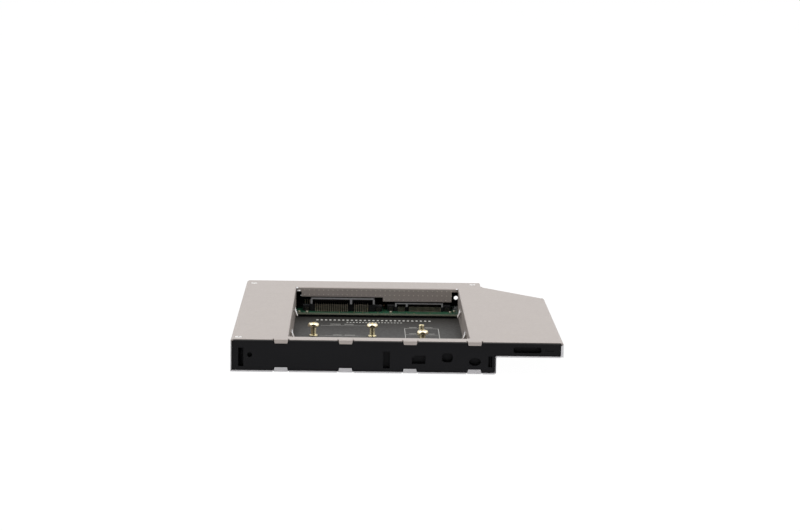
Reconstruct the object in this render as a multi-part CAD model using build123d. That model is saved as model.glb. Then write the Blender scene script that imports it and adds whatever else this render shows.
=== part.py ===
from build123d import *
import math
import os

# Envelope, in millimetres: X to the right, Y to the rear, Z up, origin under the middle
depth = 126.6
height = 12.7
left_side_width = 22.0
right_side_width = 10.1
wing_width = 25.8
wing_height = 5.95
corner_cut_inset = 34.5
corner_radius = 2.0

# Sheet covers
sheet = 0.5
bend = 1.0
bay_bend = 0.6
tab_bend = 0.6
end_rest = 0.3
cover_gap = 0.1
fit = 0.1

# Bay that the cards lie in, between the folded edges of the top cover
front_bar = 6.2
side_flange_rear_gap = 1.0
front_flange_corner_gap = 1.2
rear_flange_left_gap = 2.3
rear_flange_right_gap = 2.7
rear_flange_step_lap = 0.35
rear_left_lip_drop = 1.9
rear_right_lip_drop = 1.4

# Tabs along the front edges of both covers
tab_first_inset = 19.4
tab_pitch = 24.8
tab_count = 4
tab_width = 5.3
tab_end_width = 4.8
tab_relief = 0.55
tab_relief_depth = 1.6
top_tab_drop = 1.6
bottom_tab_rise = 1.7
tab_slant = 0.3

# Spring tongues pressed out of the side flanges
tongue_insets = (30.0, 76.0)
tongue_width = 5.0
tongue_drop = 3.3
tongue_height = 3.1
tongue_reach = 1.6
tongue_slot = 0.25

# Moulded frame
wall = 1.5
web = 1.0
rib = 1.2
rail_rib_count = 5
rail_lap = 0.5
wing_rib_count = 2
wing_cross_rib_count = 4
rear_floor = 1.5
ledge_depth = 2.4
ledge_set_back = 0.6
boss_radius = 1.9
pocket_depth = 2.4
bracket_hole_inset = 10.3
bracket_hole_z = 6.15
bracket_hole_radius = 0.95

# Openings in the front face: distance in from the left side, the step or the wing's end,
# height of the middle over the base or under the top, width and height
left_slot_size = (4.0, 5.63, 2.0, 7.3)
left_hole_size = (7.4, 6.55, 1.9, 1.9)
middle_slot_size = (42.26, 5.09, 2.56, 6.64)
lower_window_size = (29.87, 4.95, 5.17, 2.5)
upper_window_size = (29.44, 6.55, 4.31, 0.86)
button_hole_size = (18.9, 6.25, 4.2, 3.5)
eject_hole_size = (8.2, 4.74, 4.5, 3.1)
step_slot_size = (2.3, 4.87, 1.5, 4.2)
wing_bar_size = (13.9, 3.1, 10.7, 2.2)
wing_field_size = (5.3, 2.95, 3.4, 1.1)
button_hole_round = 1.3
wing_bar_round = 0.8
wing_field_depth = 0.2
mouth_rib_width = 0.3
mouth_rib_set_back = 0.6

# Boards
mounting_board_thickness = 1.0
board_lap = 1.5
adapter_board_bottom = 2.5
adapter_board_thickness = 0.8
adapter_board_lap = 9.0
board_gap = 0.4

# Card positions, measured from the card edge inside the sockets
msata_edge_inset = 1.0
m2_edge_inset = 2.2
msata_screw_spacing = 24.2
msata_screw_shift = 0.5
msata_card_length = 48.05
msata_seat = 5.5
m2_short_card = 42.0
m2_long_card = 60.0
m2_seat = 5.6

# Standoffs and screws
standoff_radius = 1.1
standoff_base_radius = 1.75
standoff_base_height = 0.45
standoff_shank_radius = 1.05
thread_hole_radius = 0.8
thread_gap = 0.05
card_screw_head_radius = 2.4
card_screw_head_height = 1.5
card_screw_length = 3.5
recess_width = 0.8
recess_span = 3.0
recess_depth = 0.9
cover_screw_head_radius = 1.45
cover_screw_head_height = 0.65
cover_screw_radius = 0.8
cover_screw_length = 3.6
cover_recess_span = 1.5
cover_recess_width = 0.4
cover_recess_depth = 0.4
board_screw_head_radius = 1.7
board_screw_head_height = 1.1
board_screw_hole_radius = 1.1
board_screw_depth = 1.6
head_round = 0.8
standoff_chamfer = 0.15
rear_left_screw_inset = (3.4, 6.8)
rear_right_screw_inset = (2.7, 4.3)
front_left_screw_inset = (2.9, 4.2)
front_right_screw_inset = (2.7, 4.2)
plug_side_screw_inset = (4.0, 4.6)
end_screw_inset = (2.6, 8.6)

# Sockets
socket_end_wall = 0.9
socket_top_wall = 0.25
contact_thickness = 0.2
contact_tail = 1.2
contact_set_back = 0.8
contact_width_pitches = 0.5
key_contact_gap = 0.9
lip_gap_depth = 1.0
msata_side_gap = 3.15
socket_gap = 2.3
m2_side_gap = 3.25
msata_lap = 5.5
msata_depth = 8.2
msata_height = 5.2
msata_slot_width = 25.9
msata_slot_floor = 2.9
msata_slot_depth = 5.0
msata_slot_pitches = 32.4
msata_key_pitches = 19.6
msata_key_width_pitches = 2.25
msata_left_count = 18
msata_right_count = 8
m2_lap = 3.7
m2_depth = 8.0
m2_height = 3.2
m2_slot_width = 19.1
m2_slot_floor = 1.8
m2_slot_depth = 4.6
m2_slot_pitches = 38.2
m2_key_pitches = 7.2
m2_key_width_pitches = 2.6
m2_left_count = 6
m2_right_count = 28
ear_width = 3.2
ear_height = 2.3
ear_depth = 3.6
ear_set_back = 1.0
clip_thickness = 0.3
clip_height = 1.6
clip_foot = 1.2
clip_inset = 0.7

# Plug towards the computer
plug_inset = 22.5
plug_socket_gap = 2.6
plug_width = 30.8
plug_depth = 10.0
plug_height = 4.8
plug_wall = 1.1
plug_mouth_depth = 6.6
plug_shelf = 0.8
tongue_thickness = 1.2
plug_key_gap = 1.6
plug_signal_count = 7
plug_power_count = 6
plug_signal_pitch = 1.27
plug_power_pitch = 1.0
plug_contact_width = 0.6
plug_contact_set_back = 0.8
plug_tongue_set_back = 0.4
plug_tongue_side = 1.0
plug_hook_width = 0.8
plug_hook_drop = 0.9
plug_clip_span = (1.0, 3.0)

# Small parts on the adapter board, placed from its right end or the M.2 socket and from the rear
regulator_size = (6.5, 3.5, 1.6)
regulator_inset = (10.4, 4.8)
regulator_tab_half = 1.5
regulator_foot_reach = 1.05
regulator_foot_thickness = 0.3
regulator_leg_half = 0.35
regulator_leg_pitch = 2.3
switch_size = (5.0, 5.0, 0.9)
switch_inset = (10.2, 6.0)
switch_round = 0.1
inductor_size = (5.0, 5.0, 2.0)
inductor_inset = (19.4, 4.9)
inductor_round = 1.2
chip_round = 0.15
large_capacitor_size = (1.25, 2.0, 1.1)
large_capacitor_inset = (26.4, 4.6)
large_capacitor_pitch = 2.2
small_capacitor_size = (0.8, 1.6, 0.8)
small_capacitor_inset = (16.6, 7.2)
small_part_pitch = 1.5
resistor_size = (0.8, 1.6, 0.45)
resistor_inset = (17.4, 3.8)
resistor_count = 3
bead_radius = 0.65
bead_height = 0.55
bead_round = 0.4
left_bead_insets = [(1.5, 1.4), (4.9, 1.2)]
middle_bead_inset = (3.4, 0.9)
right_bead_insets = [(3.4, -1.6), (1.6, 0.8)]

# Pitches and keys of the sockets
msata_pitch = msata_slot_width / msata_slot_pitches
msata_contact_width = contact_width_pitches * msata_pitch
msata_key_from_left = msata_key_pitches * msata_pitch
msata_key_width = msata_key_width_pitches * msata_pitch
m2_pitch = m2_slot_width / m2_slot_pitches
m2_contact_width = contact_width_pitches * m2_pitch
m2_key_from_left = m2_key_pitches * m2_pitch
m2_key_width = m2_key_width_pitches * m2_pitch

# The bay holds both sockets side by side, and the plug and the socket lie behind each other
msata_half = msata_slot_width / 2 + socket_end_wall + ear_width
m2_half = m2_slot_width / 2 + socket_end_wall + ear_width
bay_width = msata_side_gap + 2 * msata_half + socket_gap + 2 * m2_half + m2_side_gap
width = left_side_width + bay_width + right_side_width + wing_width
rear_strip = plug_depth + plug_socket_gap + msata_depth - msata_lap

# Planes worked out from the sizes above
left = -width / 2
right = width / 2
front = -depth / 2
rear = depth / 2
step_x = right - wing_width
wing_bottom = height - wing_height
cover_under = height - sheet
corner_cut_y = rear - corner_cut_inset
bay_left = left + left_side_width
bay_right = bay_left + bay_width
bay_front = front + front_bar
bay_rear = rear - rear_strip
tongue_y = [bay_rear - inset for inset in tongue_insets]
tongue_top = height - tongue_drop
msata_x = bay_left + msata_side_gap + msata_half
m2_x = bay_right - m2_side_gap - m2_half
msata_front = bay_rear - msata_lap
m2_front = bay_rear - m2_lap
msata_edge_y = bay_rear - msata_edge_inset
m2_edge_y = bay_rear - m2_edge_inset
adapter_board_front = bay_rear - adapter_board_lap
ledge_y = adapter_board_front + ledge_set_back
rear_flange_step_x = msata_x + msata_half + rear_flange_step_lap
frame_left = left + sheet + fit
frame_front = front + sheet
hollow_front = frame_front + pocket_depth + web
frame_right = step_x - sheet - fit
wing_right = right - 2 * sheet - fit
wing_floor = wing_bottom + sheet
well_left = bay_left - sheet - fit
well_right = bay_right + sheet + fit
well_front = bay_front - sheet - fit
rail_rear = bay_rear + sheet + rail_lap
room_front = rail_rear + wall
room_rear = rear - wall
mounting_board_top = sheet + mounting_board_thickness
adapter_board_top = adapter_board_bottom + adapter_board_thickness
msata_top = adapter_board_top + msata_height
m2_top = adapter_board_top + m2_height
plug_front = rear - plug_depth
plug_x = left + plug_inset
bracket_hole_x = step_x - bracket_hole_inset
plug_left = plug_x - plug_width / 2
plug_right = plug_x + plug_width / 2
plug_top = adapter_board_top + plug_height
tab_x = [left + tab_first_inset + tab_pitch * i for i in range(tab_count)]
rear_left_screw = (left + rear_left_screw_inset[0], rear - rear_left_screw_inset[1])
rear_right_screw = (frame_right - rear_right_screw_inset[0], rear - rear_right_screw_inset[1])
front_left_screw = (left + front_left_screw_inset[0], front + front_left_screw_inset[1])
front_right_screw = (frame_right - front_right_screw_inset[0], front + front_right_screw_inset[1])
top_screw_places = [front_left_screw, rear_left_screw, rear_right_screw]
bottom_screw_places = top_screw_places + [front_right_screw]
adapter_board_left = rear_left_screw[0] + boss_radius + board_gap
adapter_board_right = rear_right_screw[0] - boss_radius - board_gap
board_screw_places = [
    (plug_right + plug_side_screw_inset[0], rear - plug_side_screw_inset[1]),
    (adapter_board_right - end_screw_inset[0], rear - end_screw_inset[1]),
]


def block(x, y, z):
    """Box between two planes along each axis."""
    spans = [high - low for low, high in (x, y, z)]
    middles = [(high + low) / 2 for low, high in (x, y, z)]
    return Pos(*middles) * Box(*spans)


def rod(place, z, radius):
    """Upright cylinder."""
    low, high = z
    return Pos(place[0], place[1], (low + high) / 2) * Cylinder(radius, high - low)


def slab(points, z):
    """Polygon in plan between two heights."""
    face = make_face(Polyline(*points, close=True))
    return Pos(0, 0, z[0]) * extrude(face, amount=z[1] - z[0])


def side_profile(points, x):
    """Polygon of (y, z) points between two planes across X."""
    face = make_face(Polyline(*points, close=True))
    placed = Plane(origin=(x[0], 0, 0), x_dir=(0, 1, 0), z_dir=(1, 0, 0)) * face
    return extrude(placed, amount=x[1] - x[0], dir=(1, 0, 0))


def front_profile(points, y):
    """Polygon of (x, z) points between two planes along Y."""
    face = make_face(Polyline(*points, close=True))
    placed = Plane(origin=(0, y[0], 0), x_dir=(1, 0, 0), z_dir=(0, -1, 0)) * face
    return extrude(placed, amount=y[1] - y[0], dir=(0, 1, 0))


def group(solids):
    """Separate solids kept together in one node."""
    return Compound(children=list(solids))


def fold_plane(start, along):
    """Plane across a fold, with its first axis pointing into the plate."""
    direction = Vector(*along, 0).normalized()
    away = Vector(0, 0, 1).cross(direction)
    return Plane(origin=(start[0], start[1], 0), x_dir=away, z_dir=direction)


def folded_edge(start, along, length, drop, radius=bend, lean=0):
    """Sheet that leaves a flat plate under level 0 and turns down by drop, its foot leant in."""
    inner = max(radius - sheet, 0.05)
    across = radius - inner
    middle = (radius, -radius)
    outline = [
        CenterArc(middle, radius, 90, 90),
        Line((0, -radius), (lean, -drop)),
        Line((lean, -drop), (lean + across, -drop)),
        Line((lean + across, -drop), (across, -radius)),
        CenterArc(middle, inner, 180, -90),
        Line((radius, -across), (radius, 0)),
    ]
    plane = fold_plane(start, along)
    return extrude(plane * make_face(outline), amount=length, dir=plane.z_dir)


def fold_room(start, along, length, radius=bend):
    """Square room that a fold's corner takes up under level 0."""
    corners = [(0, 0), (radius, 0), (radius, -radius), (0, -radius)]
    plane = fold_plane(start, along)
    return extrude(plane * make_face(Polyline(*corners, close=True)), amount=length, dir=plane.z_dir)


def outline_points(inset, end_inset):
    """Plan outline of the caddy, drawn in from its sides."""
    cut_sum = right + corner_cut_y - inset * math.sqrt(2)
    x_end = right - end_inset
    x_step = step_x - inset
    return [
        (left + inset, front),
        (x_end, front),
        (x_end, cut_sum - x_end),
        (x_step, cut_sum - x_step),
        (x_step, rear),
        (left + inset, rear),
    ]


def outline_body(inset, end_inset, z):
    """Plan outline as a body, with its rear left corner rounded."""
    body = slab(outline_points(inset, end_inset), z)
    corner = body.edges().filter_by(Axis.Z).sort_by_distance((left, rear, z[0]))[0]
    return fillet(corner, corner_radius - inset)


# Covers

def front_tab(x, drop):
    """One tab at the front edge, bent down and a little inward, narrower at its end."""
    start = (x - tab_width / 2, front)
    tab = folded_edge(start, (1, 0), tab_width, drop, tab_bend, tab_slant)
    narrowing = (tab_width - tab_end_width) / 2
    seen_from_front = front_profile(
        [
            (x - tab_width / 2, 0),
            (x + tab_width / 2, 0),
            (x + tab_width / 2, -tab_bend),
            (x + tab_width / 2 - narrowing, -drop),
            (x - tab_width / 2 + narrowing, -drop),
            (x - tab_width / 2, -tab_bend),
        ],
        (front, front + tab_bend + tab_slant),
    )
    return tab & seen_from_front


def tab_seat(x, drop):
    """Shallow seat that a tab's inward slant takes out of the frame's front."""
    half = tab_width / 2 + fit
    y = (front, front + tab_slant + sheet + fit)
    return block((x - half, x + half), y, (-drop - fit, -tab_bend))


def tab_notch(x):
    """Room that the tab and its two reliefs take out of a plate at level 0."""
    inner = tab_width / 2
    outer = inner + tab_relief
    deep = (front, front + tab_relief_depth)
    z = (-tab_bend, 0)
    middle = block((x - inner, x + inner), (front, front + tab_bend), z)
    return middle + block((x - outer, x - inner), deep, z) + block((x + inner, x + outer), deep, z)


def with_front_tabs(plate, drop):
    """Plate at level 0 with its row of front tabs."""
    for x in tab_x:
        plate = plate - tab_notch(x) + front_tab(x, drop)
    return plate


def tongue(side, y):
    """Slanted tongue on the bay's left (-1) or right (+1) side, hinged at its top."""
    face = bay_left if side < 0 else bay_right
    points = [
        (face, tongue_top),
        (face - side * tongue_reach, tongue_top - tongue_height),
        (face - side * (tongue_reach - sheet), tongue_top - tongue_height),
        (face + side * sheet, tongue_top),
    ]
    return front_profile(points, (y - tongue_width / 2, y + tongue_width / 2))


def tongue_window(side, y):
    """Hole that pressing a tongue leaves in its flange."""
    face = bay_left if side < 0 else bay_right
    half = tongue_width / 2 + tongue_slot
    x = sorted((face - side * fit, face + side * (sheet + fit)))
    z = (tongue_top - tongue_height - tongue_slot, tongue_top - sheet)
    return block(x, (y - half, y + half), z)


def bay_folds():
    """Start, direction, length and drop of the edges folded down around the bay."""
    to_board = height - mounting_board_top - cover_gap
    side_length = bay_rear - side_flange_rear_gap - bay_front - front_flange_corner_gap
    side_start = bay_front + front_flange_corner_gap
    rear_start = bay_left + rear_flange_left_gap
    rear_length = bay_right - rear_flange_right_gap - rear_start
    front_length = bay_width - 2 * front_flange_corner_gap
    right_lip_start = (rear_start + rear_length, bay_rear)
    return {
        "rear_left_lip": ((bay_left, bay_rear), (1, 0), rear_flange_left_gap, rear_left_lip_drop),
        "rear_right_lip": (right_lip_start, (1, 0), rear_flange_right_gap, rear_right_lip_drop),
        "left": ((bay_left, side_start), (0, 1), side_length, to_board),
        "right": ((bay_right, side_start + side_length), (0, -1), side_length, to_board),
        "rear": ((rear_start, bay_rear), (1, 0), rear_length, height - m2_top - 3 * cover_gap),
        "front": ((bay_right - front_flange_corner_gap, bay_front), (-1, 0), front_length, to_board),
    }


def outer_folds():
    """Start, direction, length and drop of the top cover's edges outside the frame."""
    side_length = depth - corner_radius - bend
    cut_length = wing_width * math.sqrt(2) - 2 * bend
    cut_start = (right - bend / math.sqrt(2), corner_cut_y + bend / math.sqrt(2))
    return {
        "left": ((left, rear - corner_radius - bend), (0, -1), side_length, height - sheet - cover_gap),
        "end": ((right, front), (0, 1), corner_cut_y - front - bend, wing_height - end_rest),
        "cut": (cut_start, (-1, 1), cut_length, wing_height - sheet - cover_gap),
    }


def over_msata_socket():
    """Step in the rear flange that clears the taller socket."""
    x = (bay_left, rear_flange_step_x)
    return block(x, (bay_rear - fit, bay_rear + bend + fit), (0, msata_top + cover_gap))


def countersink(place, level, up):
    """Cone and hole for a flush cover screw whose head lies at a level."""
    cone_height = cover_screw_head_height + fit
    cone = Cone(cover_screw_radius + fit, cover_screw_head_radius + fit, cone_height)
    if up > 0:
        head = Pos(*place, level - cone_height / 2) * cone
    else:
        head = Pos(*place, level + cone_height / 2) * Rot(180, 0, 0) * cone
    reach = (level - 2 * sheet, level) if up > 0 else (level, level + 2 * sheet)
    return head + rod(place, reach, cover_screw_radius + fit)


def folded_down(plate, folds, radius):
    """Plate at level 0 with edges folded down at one radius."""
    for start, along, length, drop in folds.values():
        plate = plate - fold_room(start, along, length, radius)
        plate = plate + folded_edge(start, along, length, drop, radius)
    return plate


def top_cover():
    plate = outline_body(0, 0, (-sheet, 0))
    plate = plate - block((bay_left, bay_right), (bay_front, bay_rear), (-sheet, 0))
    plate = folded_down(plate, outer_folds(), bend)
    plate = folded_down(plate, bay_folds(), bay_bend)
    plate = Pos(0, 0, height) * with_front_tabs(plate, top_tab_drop)
    for side in (-1, 1):
        for y in tongue_y:
            plate = plate - tongue_window(side, y) + tongue(side, y)
    plate = plate - over_msata_socket()
    for place in top_screw_places:
        plate = plate - countersink(place, height, 1)
    return plate


def bottom_cover():
    end_top = height - bend - cover_gap
    points = [
        (left, 0),
        (step_x, 0),
        (step_x, wing_bottom),
        (right - sheet, wing_bottom),
        (right - sheet, end_top),
        (right - 2 * sheet, end_top),
        (right - 2 * sheet, wing_floor),
        (step_x - sheet, wing_floor),
        (step_x - sheet, sheet),
        (left, sheet),
    ]
    folded = front_profile(points, (front, rear))
    rounds = [
        ((step_x, 0), bend),
        ((step_x - sheet, sheet), bend - sheet),
        ((step_x, wing_bottom), bend - sheet),
        ((step_x - sheet, wing_floor), bend),
        ((right - sheet, wing_bottom), bend),
        ((right - 2 * sheet, wing_floor), bend - sheet),
    ]
    for (x, z), radius in rounds:
        edge = folded.edges().filter_by(Axis.Y).sort_by_distance((x, 0, z))[0]
        folded = fillet(edge, radius)
    folded = folded & outline_body(0, 0, (0, height))
    folded = folded - block((step_x, right), (corner_cut_y - sheet - fit, rear), (wing_floor, height))
    turned = mirror(with_front_tabs(mirror(folded, about=Plane.XY), bottom_tab_rise), about=Plane.XY)
    for place in bottom_screw_places:
        turned = turned - countersink(place, 0, -1)
    return turned


# Moulded frame

def rail_cells(x, y, z, count):
    """Row of rectangular hollows along Y, divided by ribs."""
    pitch = (y[1] - y[0] + rib) / count
    cells = []
    for i in range(count):
        start = y[0] + i * pitch
        cells.append(block(x, (start, start + pitch - rib), z))
    return cells


def left_rail_hollows():
    x_low = frame_left + wall
    x_high = well_left - wall
    x_middle = (x_low + x_high) / 2
    y = (hollow_front, rail_rear)
    z = (sheet + web, cover_under)
    outer = rail_cells((x_low, x_middle - rib / 2), y, z, rail_rib_count)
    inner = rail_cells((x_middle + rib / 2, x_high), y, z, rail_rib_count)
    return outer + inner


def right_rail_hollows():
    x = (well_right + wall, frame_right - wall)
    y = (hollow_front, rail_rear)
    return rail_cells(x, y, (sheet + web, cover_under), rail_rib_count)


def wing_hollows():
    """Hollows of the raised wing, cut off along its slanted wall."""
    x_low = frame_right
    x_high = wing_right - wall
    pitch = (x_high - x_low + rib) / (wing_rib_count + 1)
    keep = slab(outline_points(sheet + fit + wall, 2 * sheet + fit + wall), (wing_floor, height))
    hollows = []
    for i in range(wing_rib_count + 1):
        x = (x_low + i * pitch, x_low + (i + 1) * pitch - rib)
        y_end = right + corner_cut_y - (sheet + fit + wall) * math.sqrt(2) - x[0]
        y = (hollow_front, y_end)
        for cell in rail_cells(x, y, (wing_floor + web, cover_under), wing_cross_rib_count):
            hollows.append(cell & keep)
    return hollows


def from_left(size):
    """Front opening measured from the left side and the base."""
    inset, z, wide, high = size
    return left + inset, z, wide, high


def from_step(size):
    """Front opening measured from the step and the base."""
    inset, z, wide, high = size
    return step_x - inset, z, wide, high


def from_wing_end(size):
    """Front opening measured from the wing's end and the top."""
    inset, drop, wide, high = size
    return right - inset, height - drop, wide, high


def front_cut(opening, cut_depth):
    """Rectangular cut into the front face."""
    x, z, wide, high = opening
    y = (frame_front - fit, frame_front + cut_depth)
    return block((x - wide / 2, x + wide / 2), y, (z - high / 2, z + high / 2))


def oval_cut(opening, cut_depth):
    """Oval cut into the front face."""
    x, z, wide, high = opening
    plane = Plane(origin=(x, frame_front - fit, z), x_dir=(1, 0, 0), z_dir=(0, -1, 0))
    oval = plane * Ellipse(wide / 2, high / 2)
    return extrude(oval, amount=cut_depth + fit, dir=(0, 1, 0))


def front_openings():
    """Slots and holes for the front bezel's hooks, and the marks on the wing."""
    step_side = (middle_slot_size, lower_window_size, upper_window_size, step_slot_size)
    slots = [from_left(left_slot_size)] + [from_step(size) for size in step_side]
    cuts = [front_cut(opening, pocket_depth) for opening in slots]
    ovals = [from_left(left_hole_size), from_step(eject_hole_size)]
    cuts += [oval_cut(opening, pocket_depth) for opening in ovals]
    button = front_cut(from_step(button_hole_size), pocket_depth)
    cuts.append(fillet(button.edges().filter_by(Axis.Y), button_hole_round))
    bar = front_cut(from_wing_end(wing_bar_size), pocket_depth)
    cuts.append(fillet(bar.edges().filter_by(Axis.Y), wing_bar_round))
    cuts.append(front_cut(from_wing_end(wing_field_size), wing_field_depth))
    return cuts


def mouth_rib():
    """Thin rib that shows inside the slot beside the step."""
    x, z, wide, high = from_step(step_slot_size)
    y = (frame_front + mouth_rib_set_back, frame_front + pocket_depth)
    return block((x, x + mouth_rib_width), y, (z - high / 2, z + high / 2))


def cover_fold_rooms():
    """Room that the covers' bends take out of the frame's edges."""
    rooms = []
    folds = list(outer_folds().values()) + list(bay_folds().values())
    for start, along, length, drop in folds:
        rooms.append(Pos(0, 0, height) * fold_room(start, along, length))
    rooms.append(block((step_x - bend, step_x), (front, rear), (0, bend)))
    rooms.append(block((right - sheet - bend, right), (front, rear), (wing_bottom, wing_bottom + bend)))
    for x in tab_x:
        rooms.append(Pos(0, 0, height) * (tab_notch(x) + tab_seat(x, top_tab_drop)))
        rooms.append(mirror(tab_notch(x) + tab_seat(x, bottom_tab_rise), about=Plane.XY))
    return rooms


def plug_hole():
    """Opening in the rear wall around the plug."""
    x = (plug_left - fit, plug_right + fit)
    return block(x, (room_rear - fit, rear + fit), (adapter_board_bottom - fit, plug_top + fit))


def moulded_frame():
    deep = outline_body(sheet + fit, 2 * sheet + fit, (sheet, cover_under))
    under_wing = block((frame_right, right), (front, rear), (0, wing_floor))
    in_front = block((left, right), (front, frame_front), (0, height))
    body = deep - under_wing - in_front
    well = block((well_left, well_right), (well_front, room_front), (0, cover_under))
    room_x = (frame_left + wall, frame_right - wall)
    room = block(room_x, (room_front, room_rear), (sheet + rear_floor, cover_under))
    body = body - well - room
    floor = block((well_left, well_right), (ledge_y, room_front), (sheet, sheet + rear_floor))
    ledge_x = (bay_left + fit, bay_right - fit)
    ledge = block(ledge_x, (ledge_y, ledge_y + ledge_depth), (sheet, adapter_board_bottom))
    body = body + floor + ledge
    for x in ((well_left, bay_left + fit), (bay_right - fit, well_right)):
        slot_z = (mounting_board_top, adapter_board_bottom)
        body = body - block(x, (ledge_y, bay_rear - side_flange_rear_gap + fit), slot_z)
    for hollow in left_rail_hollows() + right_rail_hollows() + wing_hollows():
        body = body - hollow
    for place in bottom_screw_places:
        body = body + rod(place, (sheet, cover_under), boss_radius)
    for place in board_screw_places:
        body = body + rod(place, (sheet + rear_floor, adapter_board_bottom), boss_radius)
    body = body & outline_body(sheet + fit, 2 * sheet + fit, (sheet, cover_under)) - in_front
    under_board = block(
        (well_left - board_lap - fit, well_right + board_lap + fit),
        (well_front - board_lap - fit, ledge_y),
        (0, mounting_board_top),
    )
    body = body - under_board
    for cut in front_openings() + cover_fold_rooms():
        body = body - cut
    body = body + mouth_rib() - plug_hole()
    bracket = Pos(bracket_hole_x, (room_rear + rear) / 2, bracket_hole_z) * Rot(90, 0, 0)
    body = body - bracket * Cylinder(bracket_hole_radius, 2 * wall)
    hole = cover_screw_radius
    for place in top_screw_places:
        z = (height - cover_screw_length - fit, height)
        body = body - countersink(place, height, 1) - rod(place, z, hole)
    for place in bottom_screw_places:
        body = body - countersink(place, 0, -1) - rod(place, (0, cover_screw_length + fit), hole)
    for place in board_screw_places:
        z = (adapter_board_bottom - board_screw_depth - fit, adapter_board_bottom)
        body = body - rod(place, z, thread_hole_radius)
    return body


# Boards

def standoff_places():
    """Plan places of the standoffs, with the height of each one's seat."""
    msata_y = msata_edge_y - msata_card_length
    half = msata_screw_spacing / 2
    middle = msata_x + msata_screw_shift
    return {
        "msata_standoffs": [(middle - half, msata_y, msata_seat), (middle + half, msata_y, msata_seat)],
        "m2_near_standoff": [(m2_x, m2_edge_y - m2_short_card, m2_seat)],
        "m2_far_standoff": [(m2_x, m2_edge_y - m2_long_card, m2_seat)],
    }


def mounting_board():
    board = block(
        (well_left - board_lap, well_right + board_lap),
        (well_front - board_lap, ledge_y - fit),
        (sheet, mounting_board_top),
    )
    for places in standoff_places().values():
        for x, y, seat in places:
            board = board - rod((x, y), (0, height), standoff_shank_radius)
    return board


def adapter_board():
    """Board that carries the sockets and the plug, wider behind the bay."""
    neck_left = bay_left + 2 * fit
    neck_right = bay_right - 2 * fit
    shoulder_y = room_front + 3 * fit
    points = [
        (neck_left, adapter_board_front),
        (neck_right, adapter_board_front),
        (neck_right, shoulder_y),
        (adapter_board_right, shoulder_y),
        (adapter_board_right, room_rear - fit),
        (adapter_board_left, room_rear - fit),
        (adapter_board_left, shoulder_y),
        (neck_left, shoulder_y),
    ]
    board = slab(points, (adapter_board_bottom, adapter_board_top))
    for place in board_screw_places:
        board = board - rod(place, (0, height), board_screw_hole_radius)
    return board


# Card sockets

def contact_positions(x_middle, slot_width, key_from_left, key_width, pitch, counts):
    """Middles of a row of contacts, set out on both sides of the key."""
    key_left = x_middle - slot_width / 2 + key_from_left
    key_right = key_left + key_width
    before = [key_left - (key_contact_gap + i) * pitch for i in range(counts[0])]
    after = [key_right + (key_contact_gap + i) * pitch for i in range(counts[1])]
    return sorted(before + after)


def lower_contact(x, half, y_front, floor_z, reach):
    """Contact with its tail on the board, up the socket's lip and into the slot."""
    t = contact_thickness
    z = adapter_board_top
    points = [
        (y_front - contact_tail, z),
        (y_front + t, z),
        (y_front + t, floor_z),
        (y_front + reach, floor_z),
        (y_front + reach, floor_z + t),
        (y_front, floor_z + t),
        (y_front, z + t),
        (y_front - contact_tail, z + t),
    ]
    return side_profile(points, (x - half, x + half))


def upper_contact(x, half, y_front, y_back, ceiling_z):
    """Contact under the slot's ceiling, out through the back and down to the board."""
    t = contact_thickness
    z = adapter_board_top
    points = [
        (y_front, ceiling_z),
        (y_back + t, ceiling_z),
        (y_back + t, z + t),
        (y_back + contact_tail, z + t),
        (y_back + contact_tail, z),
        (y_back, z),
        (y_back, ceiling_z - t),
        (y_front, ceiling_z - t),
    ]
    return side_profile(points, (x - half, x + half))


def msata_lower_contacts():
    places = contact_positions(
        msata_x,
        msata_slot_width,
        msata_key_from_left,
        msata_key_width,
        msata_pitch,
        (msata_left_count, msata_right_count),
    )
    floor_z = adapter_board_top + msata_slot_floor
    half = msata_contact_width / 2
    return [lower_contact(x, half, msata_front, floor_z, msata_slot_depth - 4 * fit) for x in places]


def msata_upper_contacts():
    places = contact_positions(
        msata_x,
        msata_slot_width,
        msata_key_from_left,
        msata_key_width,
        msata_pitch,
        (msata_left_count, msata_right_count),
    )
    half = msata_contact_width / 2
    ceiling = msata_top - socket_top_wall
    y_back = msata_front + msata_depth
    return [upper_contact(x, half, msata_front + contact_set_back, y_back, ceiling) for x in places]


def m2_lower_contacts():
    places = contact_positions(
        m2_x, m2_slot_width, m2_key_from_left, m2_key_width, m2_pitch, (m2_left_count, m2_right_count)
    )
    floor_z = adapter_board_top + m2_slot_floor
    half = m2_contact_width / 2
    return [lower_contact(x, half, m2_front, floor_z, m2_slot_depth - 4 * fit) for x in places]


def m2_upper_contacts():
    places = contact_positions(
        m2_x, m2_slot_width, m2_key_from_left, m2_key_width, m2_pitch, (m2_left_count, m2_right_count)
    )
    half = m2_contact_width / 2
    ceiling = m2_top - socket_top_wall
    y_back = m2_front + m2_depth
    return [upper_contact(x, half, m2_front + contact_set_back, y_back, ceiling) for x in places]


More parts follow.
